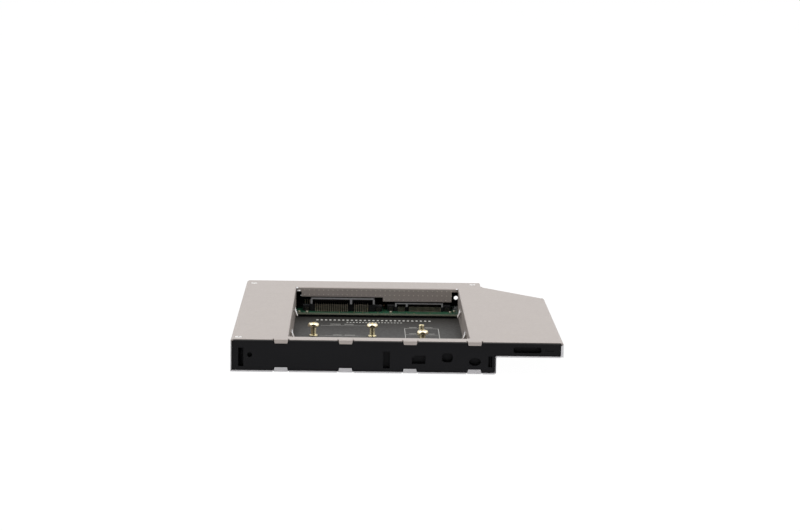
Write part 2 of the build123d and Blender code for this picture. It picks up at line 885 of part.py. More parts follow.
def card_socket(
    x_middle, y_front, depth_y, top_z, slot_width, slot_floor, slot_depth, key_from_left, key_width
):
    """Socket housing with an open slot, a key rib and two low ears."""
    z = adapter_board_top
    half = slot_width / 2 + socket_end_wall
    body = block((x_middle - half, x_middle + half), (y_front, y_front + depth_y), (z, top_z))
    slot_x = (x_middle - slot_width / 2, x_middle + slot_width / 2)
    slot_z = (z + slot_floor, top_z - socket_top_wall)
    body = body - block(slot_x, (y_front, y_front + slot_depth), slot_z)
    body = body - block(slot_x, (y_front, y_front + contact_thickness), (z, z + slot_floor))
    key_left = slot_x[0] + key_from_left
    key = block((key_left, key_left + key_width), (y_front, y_front + slot_depth), slot_z)
    lip_gap = block(
        (key_left - key_width / 3, key_left + 4 * key_width / 3),
        (y_front, y_front + lip_gap_depth),
        (z, z + slot_floor - 2 * fit),
    )
    body = body + key - lip_gap
    for side in (-1, 1):
        ear_x = sorted((x_middle + side * half, x_middle + side * (half + ear_width)))
        ear_y = (y_front + ear_set_back, y_front + ear_set_back + ear_depth)
        body = body + block(ear_x, ear_y, (z, z + ear_height))
    return body


def msata_socket_housing():
    body = card_socket(
        msata_x,
        msata_front,
        msata_depth,
        msata_top,
        msata_slot_width,
        msata_slot_floor,
        msata_slot_depth,
        msata_key_from_left,
        msata_key_width,
    )
    return body - msata_upper_contacts()


def m2_socket_housing():
    body = card_socket(
        m2_x,
        m2_front,
        m2_depth,
        m2_top,
        m2_slot_width,
        m2_slot_floor,
        m2_slot_depth,
        m2_key_from_left,
        m2_key_width,
    )
    return body - m2_upper_contacts()


def socket_clips(x_middle, y_front, slot_width):
    """Solder clips that stand against the fronts of a socket's ears."""
    clips = []
    z = adapter_board_top
    half = slot_width / 2 + socket_end_wall
    y_face = y_front + ear_set_back
    for side in (-1, 1):
        x = sorted((x_middle + side * (half + clip_inset), x_middle + side * (half + ear_width - clip_inset)))
        upright = block(x, (y_face - clip_thickness, y_face), (z, z + clip_height))
        foot = block(x, (y_face - clip_foot, y_face - clip_thickness), (z, z + clip_thickness))
        clips.append(upright + foot)
    return clips


# Plug towards the computer

def plug_contact_places():
    """Middles of the plug's signal and power contacts."""
    signal_span = (plug_signal_count - 1) * plug_signal_pitch
    power_span = (plug_power_count - 1) * plug_power_pitch
    total = signal_span + power_span + plug_key_gap + 2 * plug_signal_pitch
    start = plug_x - total / 2
    signal = [start + i * plug_signal_pitch for i in range(plug_signal_count)]
    power_start = start + signal_span + plug_key_gap + 2 * plug_signal_pitch
    power = [power_start + i * plug_power_pitch for i in range(plug_power_count)]
    return signal, power


def plug_tongue_top():
    """Height of the plug's contact surface."""
    return adapter_board_top + plug_height / 2 + tongue_thickness / 2


def sata_plug_contacts():
    contacts = []
    t = contact_thickness
    z = adapter_board_top
    top = plug_tongue_top()
    half = plug_contact_width / 2
    points = [
        (plug_front - contact_tail, z),
        (plug_front, z),
        (plug_front, top - t),
        (rear - plug_contact_set_back, top - t),
        (rear - plug_contact_set_back, top),
        (plug_front - t, top),
        (plug_front - t, z + t),
        (plug_front - contact_tail, z + t),
    ]
    signal, power = plug_contact_places()
    for x in signal + power:
        contacts.append(side_profile(points, (x - half, x + half)))
    return contacts


def sata_plug_housing():
    """Housing whose mouth faces the rear, with two contact tongues and an end hook."""
    z = adapter_board_top
    body = block((plug_left, plug_right), (plug_front, rear), (z, plug_top))
    mouth_x = (plug_left + plug_wall, plug_right - plug_wall)
    mouth_y = (rear - plug_mouth_depth, rear)
    body = body - block(mouth_x, mouth_y, (z + plug_shelf, plug_top - plug_shelf))
    top = plug_tongue_top()
    signal, power = plug_contact_places()
    tongue_y_span = (mouth_y[0], rear - plug_tongue_set_back)
    tongue_z = (top - tongue_thickness, top)
    for row in (signal, power):
        body = body + block((row[0] - plug_tongue_side, row[-1] + plug_tongue_side), tongue_y_span, tongue_z)
    hook_x = signal[0] - plug_tongue_side
    hook_z = (top - tongue_thickness - plug_hook_drop, top)
    body = body + block((hook_x, hook_x + plug_hook_width), tongue_y_span, hook_z)
    return body - sata_plug_contacts()


def sata_plug_clips():
    """Solder clips at both ends of the plug housing."""
    clips = []
    z = adapter_board_top
    y = (plug_front + plug_clip_span[0], plug_front + plug_clip_span[1])
    for side in (-1, 1):
        face = plug_x + side * plug_width / 2
        upright = block(sorted((face, face + side * clip_thickness)), y, (z, z + clip_height))
        foot = block(sorted((face, face + side * clip_foot)), y, (z, z + clip_thickness))
        clips.append(upright + foot)
    return clips


# Standoffs and screws

def standoff(x, y, seat):
    """Brass post swaged into the mounting board, with a blind threaded hole."""
    post = rod((x, y), (mounting_board_top, seat), standoff_radius)
    base = rod((x, y), (mounting_board_top, mounting_board_top + standoff_base_height), standoff_base_radius)
    shank = rod((x, y), (sheet, mounting_board_top), standoff_shank_radius)
    body = post + base + shank
    rim = body.edges().filter_by(GeomType.CIRCLE).sort_by(Axis.Z)[-1]
    body = chamfer(rim, standoff_chamfer)
    return body - rod((x, y), (mounting_board_top, seat), thread_hole_radius)


def cross_recess(place, top, span, breadth, depth_z):
    """Cross-shaped recess in a screw head."""
    x, y = place
    z = (top - depth_z, top + fit)
    along_x = block((x - span / 2, x + span / 2), (y - breadth / 2, y + breadth / 2), z)
    along_y = block((x - breadth / 2, x + breadth / 2), (y - span / 2, y + span / 2), z)
    return along_x + along_y


def pan_screw(place, seat, head_radius, head_height, shank_radius, shank_length):
    """Pan head screw standing on a seat."""
    head = rod(place, (seat, seat + head_height), head_radius)
    top_edge = head.edges().filter_by(GeomType.CIRCLE).sort_by(Axis.Z)[-1]
    head = fillet(top_edge, head_round * head_height)
    shank = rod(place, (seat - shank_length, seat), shank_radius)
    recess = cross_recess(place, seat + head_height, recess_span * head_radius / card_screw_head_radius,
                          recess_width, recess_depth)
    return head + shank - recess


def flush_screw(place, level, up):
    """Countersunk screw whose head lies level with a cover."""
    radius = cover_screw_radius - thread_gap
    cone = Cone(radius, cover_screw_head_radius, cover_screw_head_height)
    head = Pos(0, 0, -cover_screw_head_height / 2) * cone
    shank = rod((0, 0), (-cover_screw_length, -cover_screw_head_height), radius)
    screw = head + shank - cross_recess((0, 0), 0, cover_recess_span, cover_recess_width, cover_recess_depth)
    if up < 0:
        screw = Rot(180, 0, 0) * screw
    return Pos(*place, level) * screw


def card_screw(x, y, seat):
    return pan_screw(
        (x, y),
        seat,
        card_screw_head_radius,
        card_screw_head_height,
        thread_hole_radius - thread_gap,
        card_screw_length,
    )


def board_screw(place):
    return pan_screw(
        place,
        adapter_board_top,
        board_screw_head_radius,
        board_screw_head_height,
        thread_hole_radius - thread_gap,
        adapter_board_thickness + board_screw_depth,
    )


# Small parts soldered to the adapter board

def part_block(middle, size):
    """Rectangular part standing on the adapter board."""
    x, y = middle
    wide, long, high = size
    z = adapter_board_top
    return block((x - wide / 2, x + wide / 2), (y - long / 2, y + long / 2), (z, z + high))


def chip(middle, size, radius=chip_round):
    """Moulded chip body with its upright edges rounded."""
    body = part_block(middle, size)
    return fillet(body.edges().filter_by(Axis.Z), radius)


def component_row(x_first, y, pitch, count, size):
    """Row of small rectangular components."""
    return [part_block((x_first + i * pitch, y), size) for i in range(count)]


def regulator_chip():
    """Voltage regulator with a wide tab and three legs."""
    x = adapter_board_right - regulator_inset[0]
    y = rear - regulator_inset[1]
    half = regulator_size[1] / 2
    z = (adapter_board_top, adapter_board_top + regulator_foot_thickness)
    body = chip((x, y), regulator_size)
    tab_y = (y + half, y + half + regulator_foot_reach)
    body = body + block((x - regulator_tab_half, x + regulator_tab_half), tab_y, z)
    leg_y = (y - half - regulator_foot_reach, y - half)
    for i in (-1, 0, 1):
        leg_x = x + i * regulator_leg_pitch
        body = body + block((leg_x - regulator_leg_half, leg_x + regulator_leg_half), leg_y, z)
    return body


def switch_chip():
    return chip((m2_x - switch_inset[0], rear - switch_inset[1]), switch_size, switch_round)


def inductor():
    """Shielded coil with cut corners."""
    middle = (adapter_board_right - inductor_inset[0], rear - inductor_inset[1])
    return chip(middle, inductor_size, inductor_round)


def ceramic_capacitors():
    x_large = adapter_board_right - large_capacitor_inset[0]
    y_large = rear - large_capacitor_inset[1]
    x_small = m2_x - small_capacitor_inset[0]
    y_small = rear - small_capacitor_inset[1]
    large = component_row(x_large, y_large, large_capacitor_pitch, 2, large_capacitor_size)
    small = component_row(x_small, y_small, small_part_pitch, 2, small_capacitor_size)
    return large + small


def chip_resistors():
    x = m2_x - resistor_inset[0]
    return component_row(x, rear - resistor_inset[1], small_part_pitch, resistor_count, resistor_size)


def solder_joints():
    """Solder beads over the pins in front of the sockets."""
    places = [(bay_left + x, adapter_board_front + y) for x, y in left_bead_insets]
    places.append((rear_flange_step_x + middle_bead_inset[0], msata_front - middle_bead_inset[1]))
    places += [(bay_right - x, m2_front + y) for x, y in right_bead_insets]
    beads = []
    for place in places:
        bead = rod(place, (adapter_board_top, adapter_board_top + bead_height), bead_radius)
        rim = bead.edges().filter_by(GeomType.CIRCLE).sort_by(Axis.Z)[-1]
        beads.append(fillet(rim, bead_round))
    return beads


def build():
    """Every node of the caddy, by name."""
    nodes = {
        "top_cover": top_cover(),
        "bottom_cover": bottom_cover(),
        "moulded_frame": moulded_frame(),
        "mounting_board": mounting_board(),
        "adapter_board": adapter_board(),
        "msata_socket_housing": msata_socket_housing(),
        "msata_lower_contacts": group(msata_lower_contacts()),
        "msata_upper_contacts": group(msata_upper_contacts()),
        "msata_socket_clips": group(socket_clips(msata_x, msata_front, msata_slot_width)),
        "m2_socket_housing": m2_socket_housing(),
        "m2_lower_contacts": group(m2_lower_contacts()),
        "m2_upper_contacts": group(m2_upper_contacts()),
        "m2_socket_clips": group(socket_clips(m2_x, m2_front, m2_slot_width)),
        "sata_plug_housing": sata_plug_housing(),
        "sata_plug_contacts": group(sata_plug_contacts()),
        "sata_plug_clips": group(sata_plug_clips()),
        "top_cover_screws": group(flush_screw(place, height, 1) for place in top_screw_places),
        "bottom_cover_screws": group(flush_screw(place, 0, -1) for place in bottom_screw_places),
        "adapter_board_screws": group(board_screw(place) for place in board_screw_places),
        "regulator_chip": regulator_chip(),
        "switch_chip": switch_chip(),
        "inductor": inductor(),
        "ceramic_capacitors": group(ceramic_capacitors()),
        "chip_resistors": group(chip_resistors()),
        "solder_joints": group(solder_joints()),
    }
    places = standoff_places()
    for name, spots in places.items():
        nodes[name] = group(standoff(*spot) for spot in spots)
    nodes["msata_card_screws"] = group(card_screw(*spot) for spot in places["msata_standoffs"])
    nodes["m2_card_screw"] = card_screw(*places["m2_far_standoff"][0])
    return nodes


def main():
    os.makedirs("parts", exist_ok=True)
    for name, shape in build().items():
        export_step(shape, f"parts/{name}.step")


main()
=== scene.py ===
"""Laptop drive caddy: camera, light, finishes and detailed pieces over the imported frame."""
import sys
import logging
import math
from collections.abc import Callable, Sequence
from dataclasses import dataclass
from enum import Enum

import bmesh
import bpy
from mathutils import Matrix, Vector
from mathutils.bvhtree import BVHTree


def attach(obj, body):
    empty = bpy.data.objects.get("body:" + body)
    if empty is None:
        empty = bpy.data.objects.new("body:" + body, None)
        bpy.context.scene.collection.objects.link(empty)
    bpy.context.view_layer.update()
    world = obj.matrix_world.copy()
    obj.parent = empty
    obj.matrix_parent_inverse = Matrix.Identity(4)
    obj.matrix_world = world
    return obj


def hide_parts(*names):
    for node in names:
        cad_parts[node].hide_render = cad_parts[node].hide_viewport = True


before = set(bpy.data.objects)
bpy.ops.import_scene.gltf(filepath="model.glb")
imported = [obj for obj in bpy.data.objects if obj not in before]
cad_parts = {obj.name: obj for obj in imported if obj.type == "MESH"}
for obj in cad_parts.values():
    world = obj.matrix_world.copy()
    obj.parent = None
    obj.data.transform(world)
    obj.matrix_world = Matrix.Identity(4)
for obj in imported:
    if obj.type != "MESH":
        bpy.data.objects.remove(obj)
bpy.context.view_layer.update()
log = logging.getLogger("caddy")
MM = 0.001
# A wave texture of scale 1 has a band in every 0.314 units.
WAVE_PITCH = 0.314
# Points of a turned shape that are nearer than this, in millimetres, are one.
SEAM = 0.001
# Angles in degrees past which edges stay sharp, on small detail and on pieces with broken edges.
DETAIL_SHARP = 35.0
BROKEN_SHARP = 50.0
Pair = tuple[float, float]
Point = tuple[float, float, float]
Strip = tuple[float, float, float, float]
Colour = tuple[float, float, float, float]
Socket = bpy.types.NodeSocket
Mesh = bpy.types.Mesh


def tone(red: float, green: float, blue: float) -> Colour:
    """Turn screen values from 0 to 255 into a linear colour.

    Args:
        red, green, blue: The three screen values.

    Returns:
        The colour with full alpha, as shader sockets take it.
    """
    parts = [v / 255 for v in (red, green, blue)]
    linear = [p / 12.92 if p <= 0.04045 else ((p + 0.055) / 1.055) ** 2.4 for p in parts]
    return (*linear, 1.0)


class Finish(Enum):
    """Finishes of the caddy: first the record's material slots, then those of the scene alone, several of
    which paint highlights and shade.
    """

    SILVER_PAINT = "silver_paint"
    BLACK_PLASTIC = "black_plastic"
    BOARD_BLACK = "board_black"
    BOARD_GREEN = "board_green"
    CONNECTOR_BLACK = "connector_black"
    CONTACT_GOLD = "contact_gold"
    SHADED_CLIP_TIN = "clip_tin"
    STANDOFF_BRASS = "standoff_brass"
    SCREW_GOLD = "screw_gold"
    SCREW_STEEL = "screw_steel"
    CHIP_BLACK = "chip_black"
    INDUCTOR_GREY = "inductor_grey"
    CAPACITOR_TAN = "capacitor_tan"
    RESISTOR_BLACK = "resistor_black"
    SOLDER_TIN = "solder_tin"
    INK_WHITE = "ink_white"
    SILVER_PAINTED_LIGHT = "silver_painted_light"
    DOT_HIGHLIGHT = "dot_highlight"
    PAINTED_GLINT = "painted_glint"
    SHADED_EDGE = "shaded_edge"
    RIB_HIGHLIGHT = "rib_highlight"
    PAD_GOLD = "pad_gold"


class Recipe:
    """A material's node tree, written one node at a time."""

    def __init__(self, name: str) -> None:
        """Start a material with a Principled shader and object coordinates."""
        self.material = bpy.data.materials.new(name)
        self.material.use_nodes = True
        self.tree = self.material.node_tree
        self.shader = self.tree.nodes["Principled BSDF"]
        self.place = self.add("ShaderNodeTexCoord").outputs["Object"]

    def add(self, kind: str, **settings: object) -> bpy.types.Node:
        """Add a node and set its properties."""
        node = self.tree.nodes.new(kind)
        for key, value in settings.items():
            setattr(node, key, value)
        return node

    def join(self, source: Socket, target: Socket) -> None:
        """Link two sockets."""
        self.tree.links.new(source, target)

    def fixed(self, **values: object) -> None:
        """Set constant inputs of the shader, with spaces in their names written as underscores."""
        for key, value in values.items():
            self.shader.inputs[key.replace("_", " ")].default_value = value

    def stretched(self, scale: Point) -> Socket:
        """Object coordinates scaled along each axis."""
        node = self.add("ShaderNodeMapping")
        node.inputs["Scale"].default_value = scale
        self.join(self.place, node.inputs["Vector"])
        return node.outputs["Vector"]

    def noise(self, size: float, detail: float = 2.0, place: Socket | None = None) -> Socket:
        """Soft noise.

        Args:
            size: Size of a patch in millimetres.
            detail: Octaves of finer noise.
            place: Coordinates, or None for plain object coordinates.

        Returns:
            The noise value, about 0.5 on average.
        """
        node = self.add("ShaderNodeTexNoise")
        node.inputs["Scale"].default_value = 1.0 / (size * MM)
        node.inputs["Detail"].default_value = detail
        self.join(place or self.place, node.inputs["Vector"])
        return node.outputs["Fac"]

    def cells(self, size: float) -> Socket:
        """Random value for each small cell, of a size in millimetres."""
        node = self.add("ShaderNodeTexVoronoi")
        node.inputs["Scale"].default_value = 1.0 / (size * MM)
        self.join(self.place, node.inputs["Vector"])
        split = self.add("ShaderNodeSeparateColor")
        self.join(node.outputs["Color"], split.inputs["Color"])
        return split.outputs["Red"]

    def waves(self, pitch: float, direction: str, distortion: float = 0.0) -> Socket:
        """Parallel bands with a pitch in millimetres along X, Y, Z or DIAGONAL."""
        node = self.add("ShaderNodeTexWave", bands_direction=direction)
        node.inputs["Scale"].default_value = WAVE_PITCH / (pitch * MM)
        node.inputs["Distortion"].default_value = distortion
        node.inputs["Detail"].default_value = 1.0
        self.join(self.place, node.inputs["Vector"])
        return node.outputs["Fac"]

    def spread(self, value: Socket, low: float, high: float,
               start: float = 0.3, end: float = 0.7) -> Socket:
        """Map a value from start..end to low..high."""
        node = self.add("ShaderNodeMapRange")
        node.inputs["From Min"].default_value = start
        node.inputs["From Max"].default_value = end
        node.inputs["To Min"].default_value = low
        node.inputs["To Max"].default_value = high
        self.join(value, node.inputs["Value"])
        return node.outputs["Result"]

    def product(self, first: Socket, second: Socket) -> Socket:
        """Product of two values."""
        node = self.add("ShaderNodeMath", operation="MULTIPLY")
        self.join(first, node.inputs[0])
        self.join(second, node.inputs[1])
        return node.outputs["Value"]

    def mixed(self, factor: Socket, first: Socket | Colour,
              second: Socket | Colour) -> Socket:
        """Blend two colours by a factor."""
        node = self.add("ShaderNodeMix", data_type="RGBA")
        self.join(factor, node.inputs["Factor"])
        for socket, value in ((node.inputs[6], first), (node.inputs[7], second)):
            if isinstance(value, tuple):
                socket.default_value = value
            else:
                self.join(value, socket)
        return node.outputs[2]

    def upward(self) -> Socket:
        """1 on faces that look up or down, 0 on edges that stand upright."""
        split = self.add("ShaderNodeSeparateXYZ")
        self.join(self.add("ShaderNodeNewGeometry").outputs["Normal"], split.inputs["Vector"])
        flat = self.add("ShaderNodeMath", operation="ABSOLUTE")
        self.join(split.outputs["Z"], flat.inputs[0])
        return self.spread(flat.outputs["Value"], 0.0, 1.0, 0.6, 0.8)

    def colour(self, value: Socket) -> None:
        """Give the shader its colour."""
        self.join(value, self.shader.inputs["Base Color"])

    def roughness(self, value: Socket) -> None:
        """Give the shader its roughness."""
        self.join(value, self.shader.inputs["Roughness"])

    def relief(self, *layers: tuple[Socket, float, float]) -> None:
        """Bump the surface.

        Args:
            layers: Height value, strength from 0 to 1 and height in millimetres, for each layer.
        """
        normal = None
        for height, strength, depth in layers:
            node = self.add("ShaderNodeBump")
            node.inputs["Strength"].default_value = strength
            node.inputs["Distance"].default_value = depth * MM
            self.join(height, node.inputs["Height"])
            if normal is not None:
                self.join(normal, node.inputs["Normal"])
            normal = node.outputs["Normal"]
        self.join(normal, self.shader.inputs["Normal"])


@dataclass(frozen=True)
class SheetPaint:
    """Fine silver paint on steel sheet, with flakes and a soft mottle."""

    base: Colour = tone(192, 182, 176)
    shade: Colour = tone(183, 173, 167)
    spark: Colour = tone(212, 203, 198)
    flake: float = 0.09
    mottle: float = 7.0
    metal: float = 0.08

    def make(self, name: str) -> bpy.types.Material:
        """Build the material."""
        r = Recipe(name)
        flakes = r.cells(self.flake)
        cloud = r.noise(self.mottle, 3.0)
        ground = r.mixed(r.spread(cloud, 0.0, 0.35), self.base, self.shade)
        r.colour(r.mixed(r.spread(flakes, 0.0, 0.5, 0.75, 1.0), ground, self.spark))
        r.roughness(r.spread(r.noise(1.6, 3.0), 0.36, 0.44))
        r.fixed(Metallic=self.metal)
        r.relief((r.noise(0.35, 3.0), 0.25, 0.01), (flakes, 0.12, 0.004))
        return r.material


@dataclass(frozen=True)
class MouldedPlastic:
    """Black moulding with a spark-eroded texture and faint flow lines."""

    base: Colour = tone(24, 24, 26)
    pale: Colour = tone(33, 33, 36)
    grain: float = 0.22
    flow: float = 14.0
    gloss: Pair = (0.46, 0.58)
    sheen: float = 0.13

    def make(self, name: str) -> bpy.types.Material:
        """Build the material."""
        r = Recipe(name)
        grain = r.noise(self.grain, 4.0)
        flow = r.noise(self.flow, 2.0, r.stretched((0.35, 1.0, 1.0)))
        ground = r.mixed(r.spread(flow, 0.0, 0.5), self.base, self.pale)
        r.colour(r.mixed(r.spread(grain, 0.0, 0.35), ground, self.pale))
        r.roughness(r.spread(grain, *self.gloss))
        r.fixed(Specular_IOR_Level=self.sheen)
        r.relief((grain, 0.45, 0.02), (r.noise(2.5), 0.1, 0.01))
        return r.material


@dataclass(frozen=True)
class SolderMask:
    """Printed board: solder mask over glass weave, with the laminate bare at the edges.

    The tracks are the gaps of a staggered brick pattern, and they show in patches.
    """

    mask: Colour
    copper: Colour
    laminate: Colour
    weave: float = 0.42
    layer: float = 0.2
    brick: float = 3.6
    gap: float = 0.045
    gap_blur: float = 0.1
    stagger: float = 0.37
    squash: float = 0.6
    brick_tones: Pair = (0.0, 0.25)
    patch: float = 6.0
    gloss: Pair = (0.3, 0.42)
    tracks: float = 0.5
    sheen: float = 0.5

    def make(self, name: str) -> bpy.types.Material:
        """Build the material."""
        r = Recipe(name)
        along = r.waves(self.weave, "X")
        across = r.waves(self.weave, "Y")
        weave = r.product(along, across)
        brick = r.add("ShaderNodeTexBrick", offset=self.stagger, squash=self.squash, squash_frequency=3)
        brick.inputs["Scale"].default_value = 1.0 / (self.brick * MM)
        brick.inputs["Mortar Size"].default_value = self.gap
        brick.inputs["Mortar Smooth"].default_value = self.gap_blur
        for key, level in zip(("Color1", "Color2", "Mortar"), (*self.brick_tones, 1.0)):
            brick.inputs[key].default_value = (level, level, level, 1.0)
        r.join(r.place, brick.inputs["Vector"])
        patch = r.spread(r.noise(self.patch, 0.0), 0.0, self.tracks, 0.45, 0.55)
        tracks = r.product(brick.outputs["Color"], patch)
        top = r.mixed(tracks, self.mask, self.copper)
        layers = r.mixed(r.waves(self.layer, "Z", 1.5), self.laminate, self.mask)
        r.colour(r.mixed(r.upward(), layers, top))
        r.roughness(r.spread(r.noise(1.2, 3.0), *self.gloss))
        r.fixed(Specular_IOR_Level=self.sheen)
        r.relief((weave, 0.15, 0.012), (tracks, 0.35, 0.02), (r.noise(0.3), 0.1, 0.006))
        return r.material


@dataclass(frozen=True)
class FilledNylon:
    """Connector plastic with short glass fibres in it."""

    base: Colour
    fibre: Colour
    length: float = 0.5
    sheen: float = 0.05

    def make(self, name: str) -> bpy.types.Material:
        """Build the material."""
        r = Recipe(name)
        fibres = r.noise(self.length, 3.0, r.stretched((0.3, 1.0, 1.6)))
        r.colour(r.mixed(r.spread(fibres, 0.0, 0.5, 0.5, 0.75), self.base, self.fibre))
        r.roughness(r.spread(fibres, 0.46, 0.6))
        r.fixed(Specular_IOR_Level=self.sheen)
        r.relief((fibres, 0.25, 0.01), (r.noise(0.12, 3.0), 0.2, 0.006))
        return r.material


@dataclass(frozen=True)
class TurnedMetal:
    """Bright metal with turning or rolling lines and a slightly uneven plating."""

    base: Colour
    dark: Colour
    lines: float
    direction: str
    gloss: Pair
    depth: float = 0.004
    axial: float = 0.0

    def make(self, name: str) -> bpy.types.Material:
        """Build the material."""
        r = Recipe(name)
        lines = r.waves(self.lines, self.direction, 1.2)
        stain = r.noise(0.9, 3.0)
        r.colour(r.mixed(r.spread(stain, 0.0, 0.55), self.base, self.dark))
        r.roughness(r.spread(stain, *self.gloss))
        r.fixed(Metallic=1.0, Anisotropic=self.axial)
        if self.axial:
            upright = r.add("ShaderNodeCombineXYZ")
            upright.inputs["Z"].default_value = 1.0
            r.join(upright.outputs["Vector"], r.shader.inputs["Tangent"])
        r.relief((lines, 0.3, self.depth), (r.noise(0.2, 2.0), 0.15, 0.004))
        return r.material


@dataclass(frozen=True)
class FiredBody:
    """Moulded epoxy, ferrite or fired ceramic: a matt body with fine specks."""

    base: Colour
    speck: Colour
    grain: float = 0.08
    gloss: Pair = (0.5, 0.68)

    def make(self, name: str) -> bpy.types.Material:
        """Build the material."""
        r = Recipe(name)
        specks = r.cells(self.grain)
        r.colour(r.mixed(r.spread(specks, 0.0, 0.6, 0.7, 1.0), self.base, self.speck))
        r.roughness(r.spread(r.noise(0.5, 3.0), *self.gloss))
        r.relief((specks, 0.2, 0.006), (r.noise(0.3, 3.0), 0.2, 0.008))
        return r.material


@dataclass(frozen=True)
class MarkingInk:
    """Screened white ink, thinner in places."""

    base: Colour = tone(222, 221, 216)
    thin: Colour = tone(150, 149, 146)

    def make(self, name: str) -> bpy.types.Material:
        """Build the material."""
        r = Recipe(name)
        worn = r.noise(0.25, 4.0)
        r.colour(r.mixed(r.spread(worn, 0.0, 0.7, 0.45, 0.75), self.base, self.thin))
        r.roughness(r.spread(worn, 0.5, 0.65))
        r.relief((worn, 0.3, 0.01))
        return r.material


class Wardrobe:
    """Every finish, each built once."""

    def __init__(self) -> None:
        """Build all the materials."""
        recipes = {
            Finish.SILVER_PAINT: SheetPaint(),
            Finish.BLACK_PLASTIC: MouldedPlastic(),
            Finish.BOARD_BLACK: SolderMask(
                tone(40, 38, 35), tone(48, 46, 43), tone(38, 36, 33),
                gloss=(0.42, 0.52), tracks=0.0, sheen=0.36,
            ),
            Finish.BOARD_GREEN: SolderMask(tone(30, 70, 50), tone(56, 110, 80), tone(206, 210, 186)),
            Finish.CONNECTOR_BLACK: FilledNylon(tone(40, 40, 41), tone(54, 54, 55)),
            Finish.CONTACT_GOLD: TurnedMetal(
                tone(190, 182, 167), tone(152, 145, 132), 0.09, "X", (0.34, 0.46),
            ),
            # Tin clips in a dark tone: painted shade.
            Finish.SHADED_CLIP_TIN: TurnedMetal(tone(92, 90, 88), tone(62, 61, 60), 0.12, "X", (0.3, 0.42)),
            Finish.STANDOFF_BRASS: TurnedMetal(
                tone(255, 246, 212), tone(232, 214, 160), 0.2, "Z", (0.34, 0.4), 0.002, 0.95,
            ),
            Finish.SCREW_GOLD: TurnedMetal(
                tone(255, 245, 216), tone(226, 206, 158), 0.3, "Z", (0.12, 0.22), 0.002,
            ),
            Finish.SCREW_STEEL: TurnedMetal(
                tone(252, 251, 249), tone(222, 219, 216), 0.1, "X", (0.2, 0.34),
            ),
            Finish.CHIP_BLACK: FiredBody(tone(26, 26, 27), tone(52, 52, 52)),
            Finish.INDUCTOR_GREY: FiredBody(tone(62, 62, 63), tone(96, 95, 94), 0.12),
            Finish.CAPACITOR_TAN: FiredBody(tone(168, 132, 96), tone(196, 164, 128), 0.06, (0.3, 0.45)),
            Finish.RESISTOR_BLACK: FiredBody(tone(24, 24, 27), tone(44, 44, 48), 0.05, (0.25, 0.4)),
            Finish.SOLDER_TIN: TurnedMetal(tone(176, 172, 154), tone(120, 116, 100), 0.3, "Y", (0.42, 0.55)),
            Finish.INK_WHITE: MarkingInk(),
            # Lighter copy of the sheet's paint for the bottom cover: painted light on its front faces.
            Finish.SILVER_PAINTED_LIGHT: SheetPaint(tone(240, 238, 241), tone(233, 231, 234), tone(247, 246, 248)),
            # Lighter paint for the flange's dots: painted highlight.
            Finish.DOT_HIGHLIGHT: SheetPaint(tone(222, 212, 203), tone(216, 206, 197), tone(230, 221, 213)),
            # Near-white paint for the tongues, the bay's rear corners and some edge strips: painted highlight.
            Finish.PAINTED_GLINT: SheetPaint(tone(250, 250, 252), tone(242, 242, 245), tone(255, 255, 255)),
            # Dark paint for the sheet's cut edges and side strips: painted shade.
            Finish.SHADED_EDGE: SheetPaint(tone(72, 69, 68), tone(58, 56, 55), tone(90, 88, 86)),
            # Pale plastic on the socket's wall, key and lip faces: painted highlight.
            Finish.RIB_HIGHLIGHT: FilledNylon(tone(168, 167, 170), tone(184, 183, 186)),
            Finish.PAD_GOLD: TurnedMetal(tone(216, 186, 130), tone(168, 138, 92), 0.15, "X", (0.28, 0.4)),
        }
        self.materials = {finish: recipe.make(finish.value) for finish, recipe in recipes.items()}

    def __getitem__(self, finish: Finish) -> bpy.types.Material:
        """The material of a finish."""
        return self.materials[finish]


def stood(name: str, data: bpy.types.ID) -> bpy.types.Object:
    """Put a mesh, a light or a camera in the scene as a new object."""
    thing = bpy.data.objects.new(name, data)
    bpy.context.collection.objects.link(thing)
    return thing


def taken(work: bmesh.types.BMesh, name: str) -> Mesh:
    """Mesh of a finished shape, which is freed."""
    mesh = bpy.data.meshes.new(name)
    work.to_mesh(mesh)
    work.free()
    return mesh


def smoothed(mesh: Mesh, sharp: float = DETAIL_SHARP) -> Mesh:
    """The same mesh, smooth between its edges that are sharper than an angle in degrees."""
    mesh.polygons.foreach_set("use_smooth", [True] * len(mesh.polygons))
    mesh.set_sharp_from_angle(angle=math.radians(sharp))
    return mesh


def plain(source: bpy.types.Object) -> Mesh:
    """Plain mesh of an object's evaluated result. The object is removed."""
    bpy.context.view_layer.update()
    graph = bpy.context.evaluated_depsgraph_get()
    mesh = bpy.data.meshes.new_from_object(source.evaluated_get(graph))
    source.modifiers.clear()
    bpy.data.objects.remove(source)
    return mesh


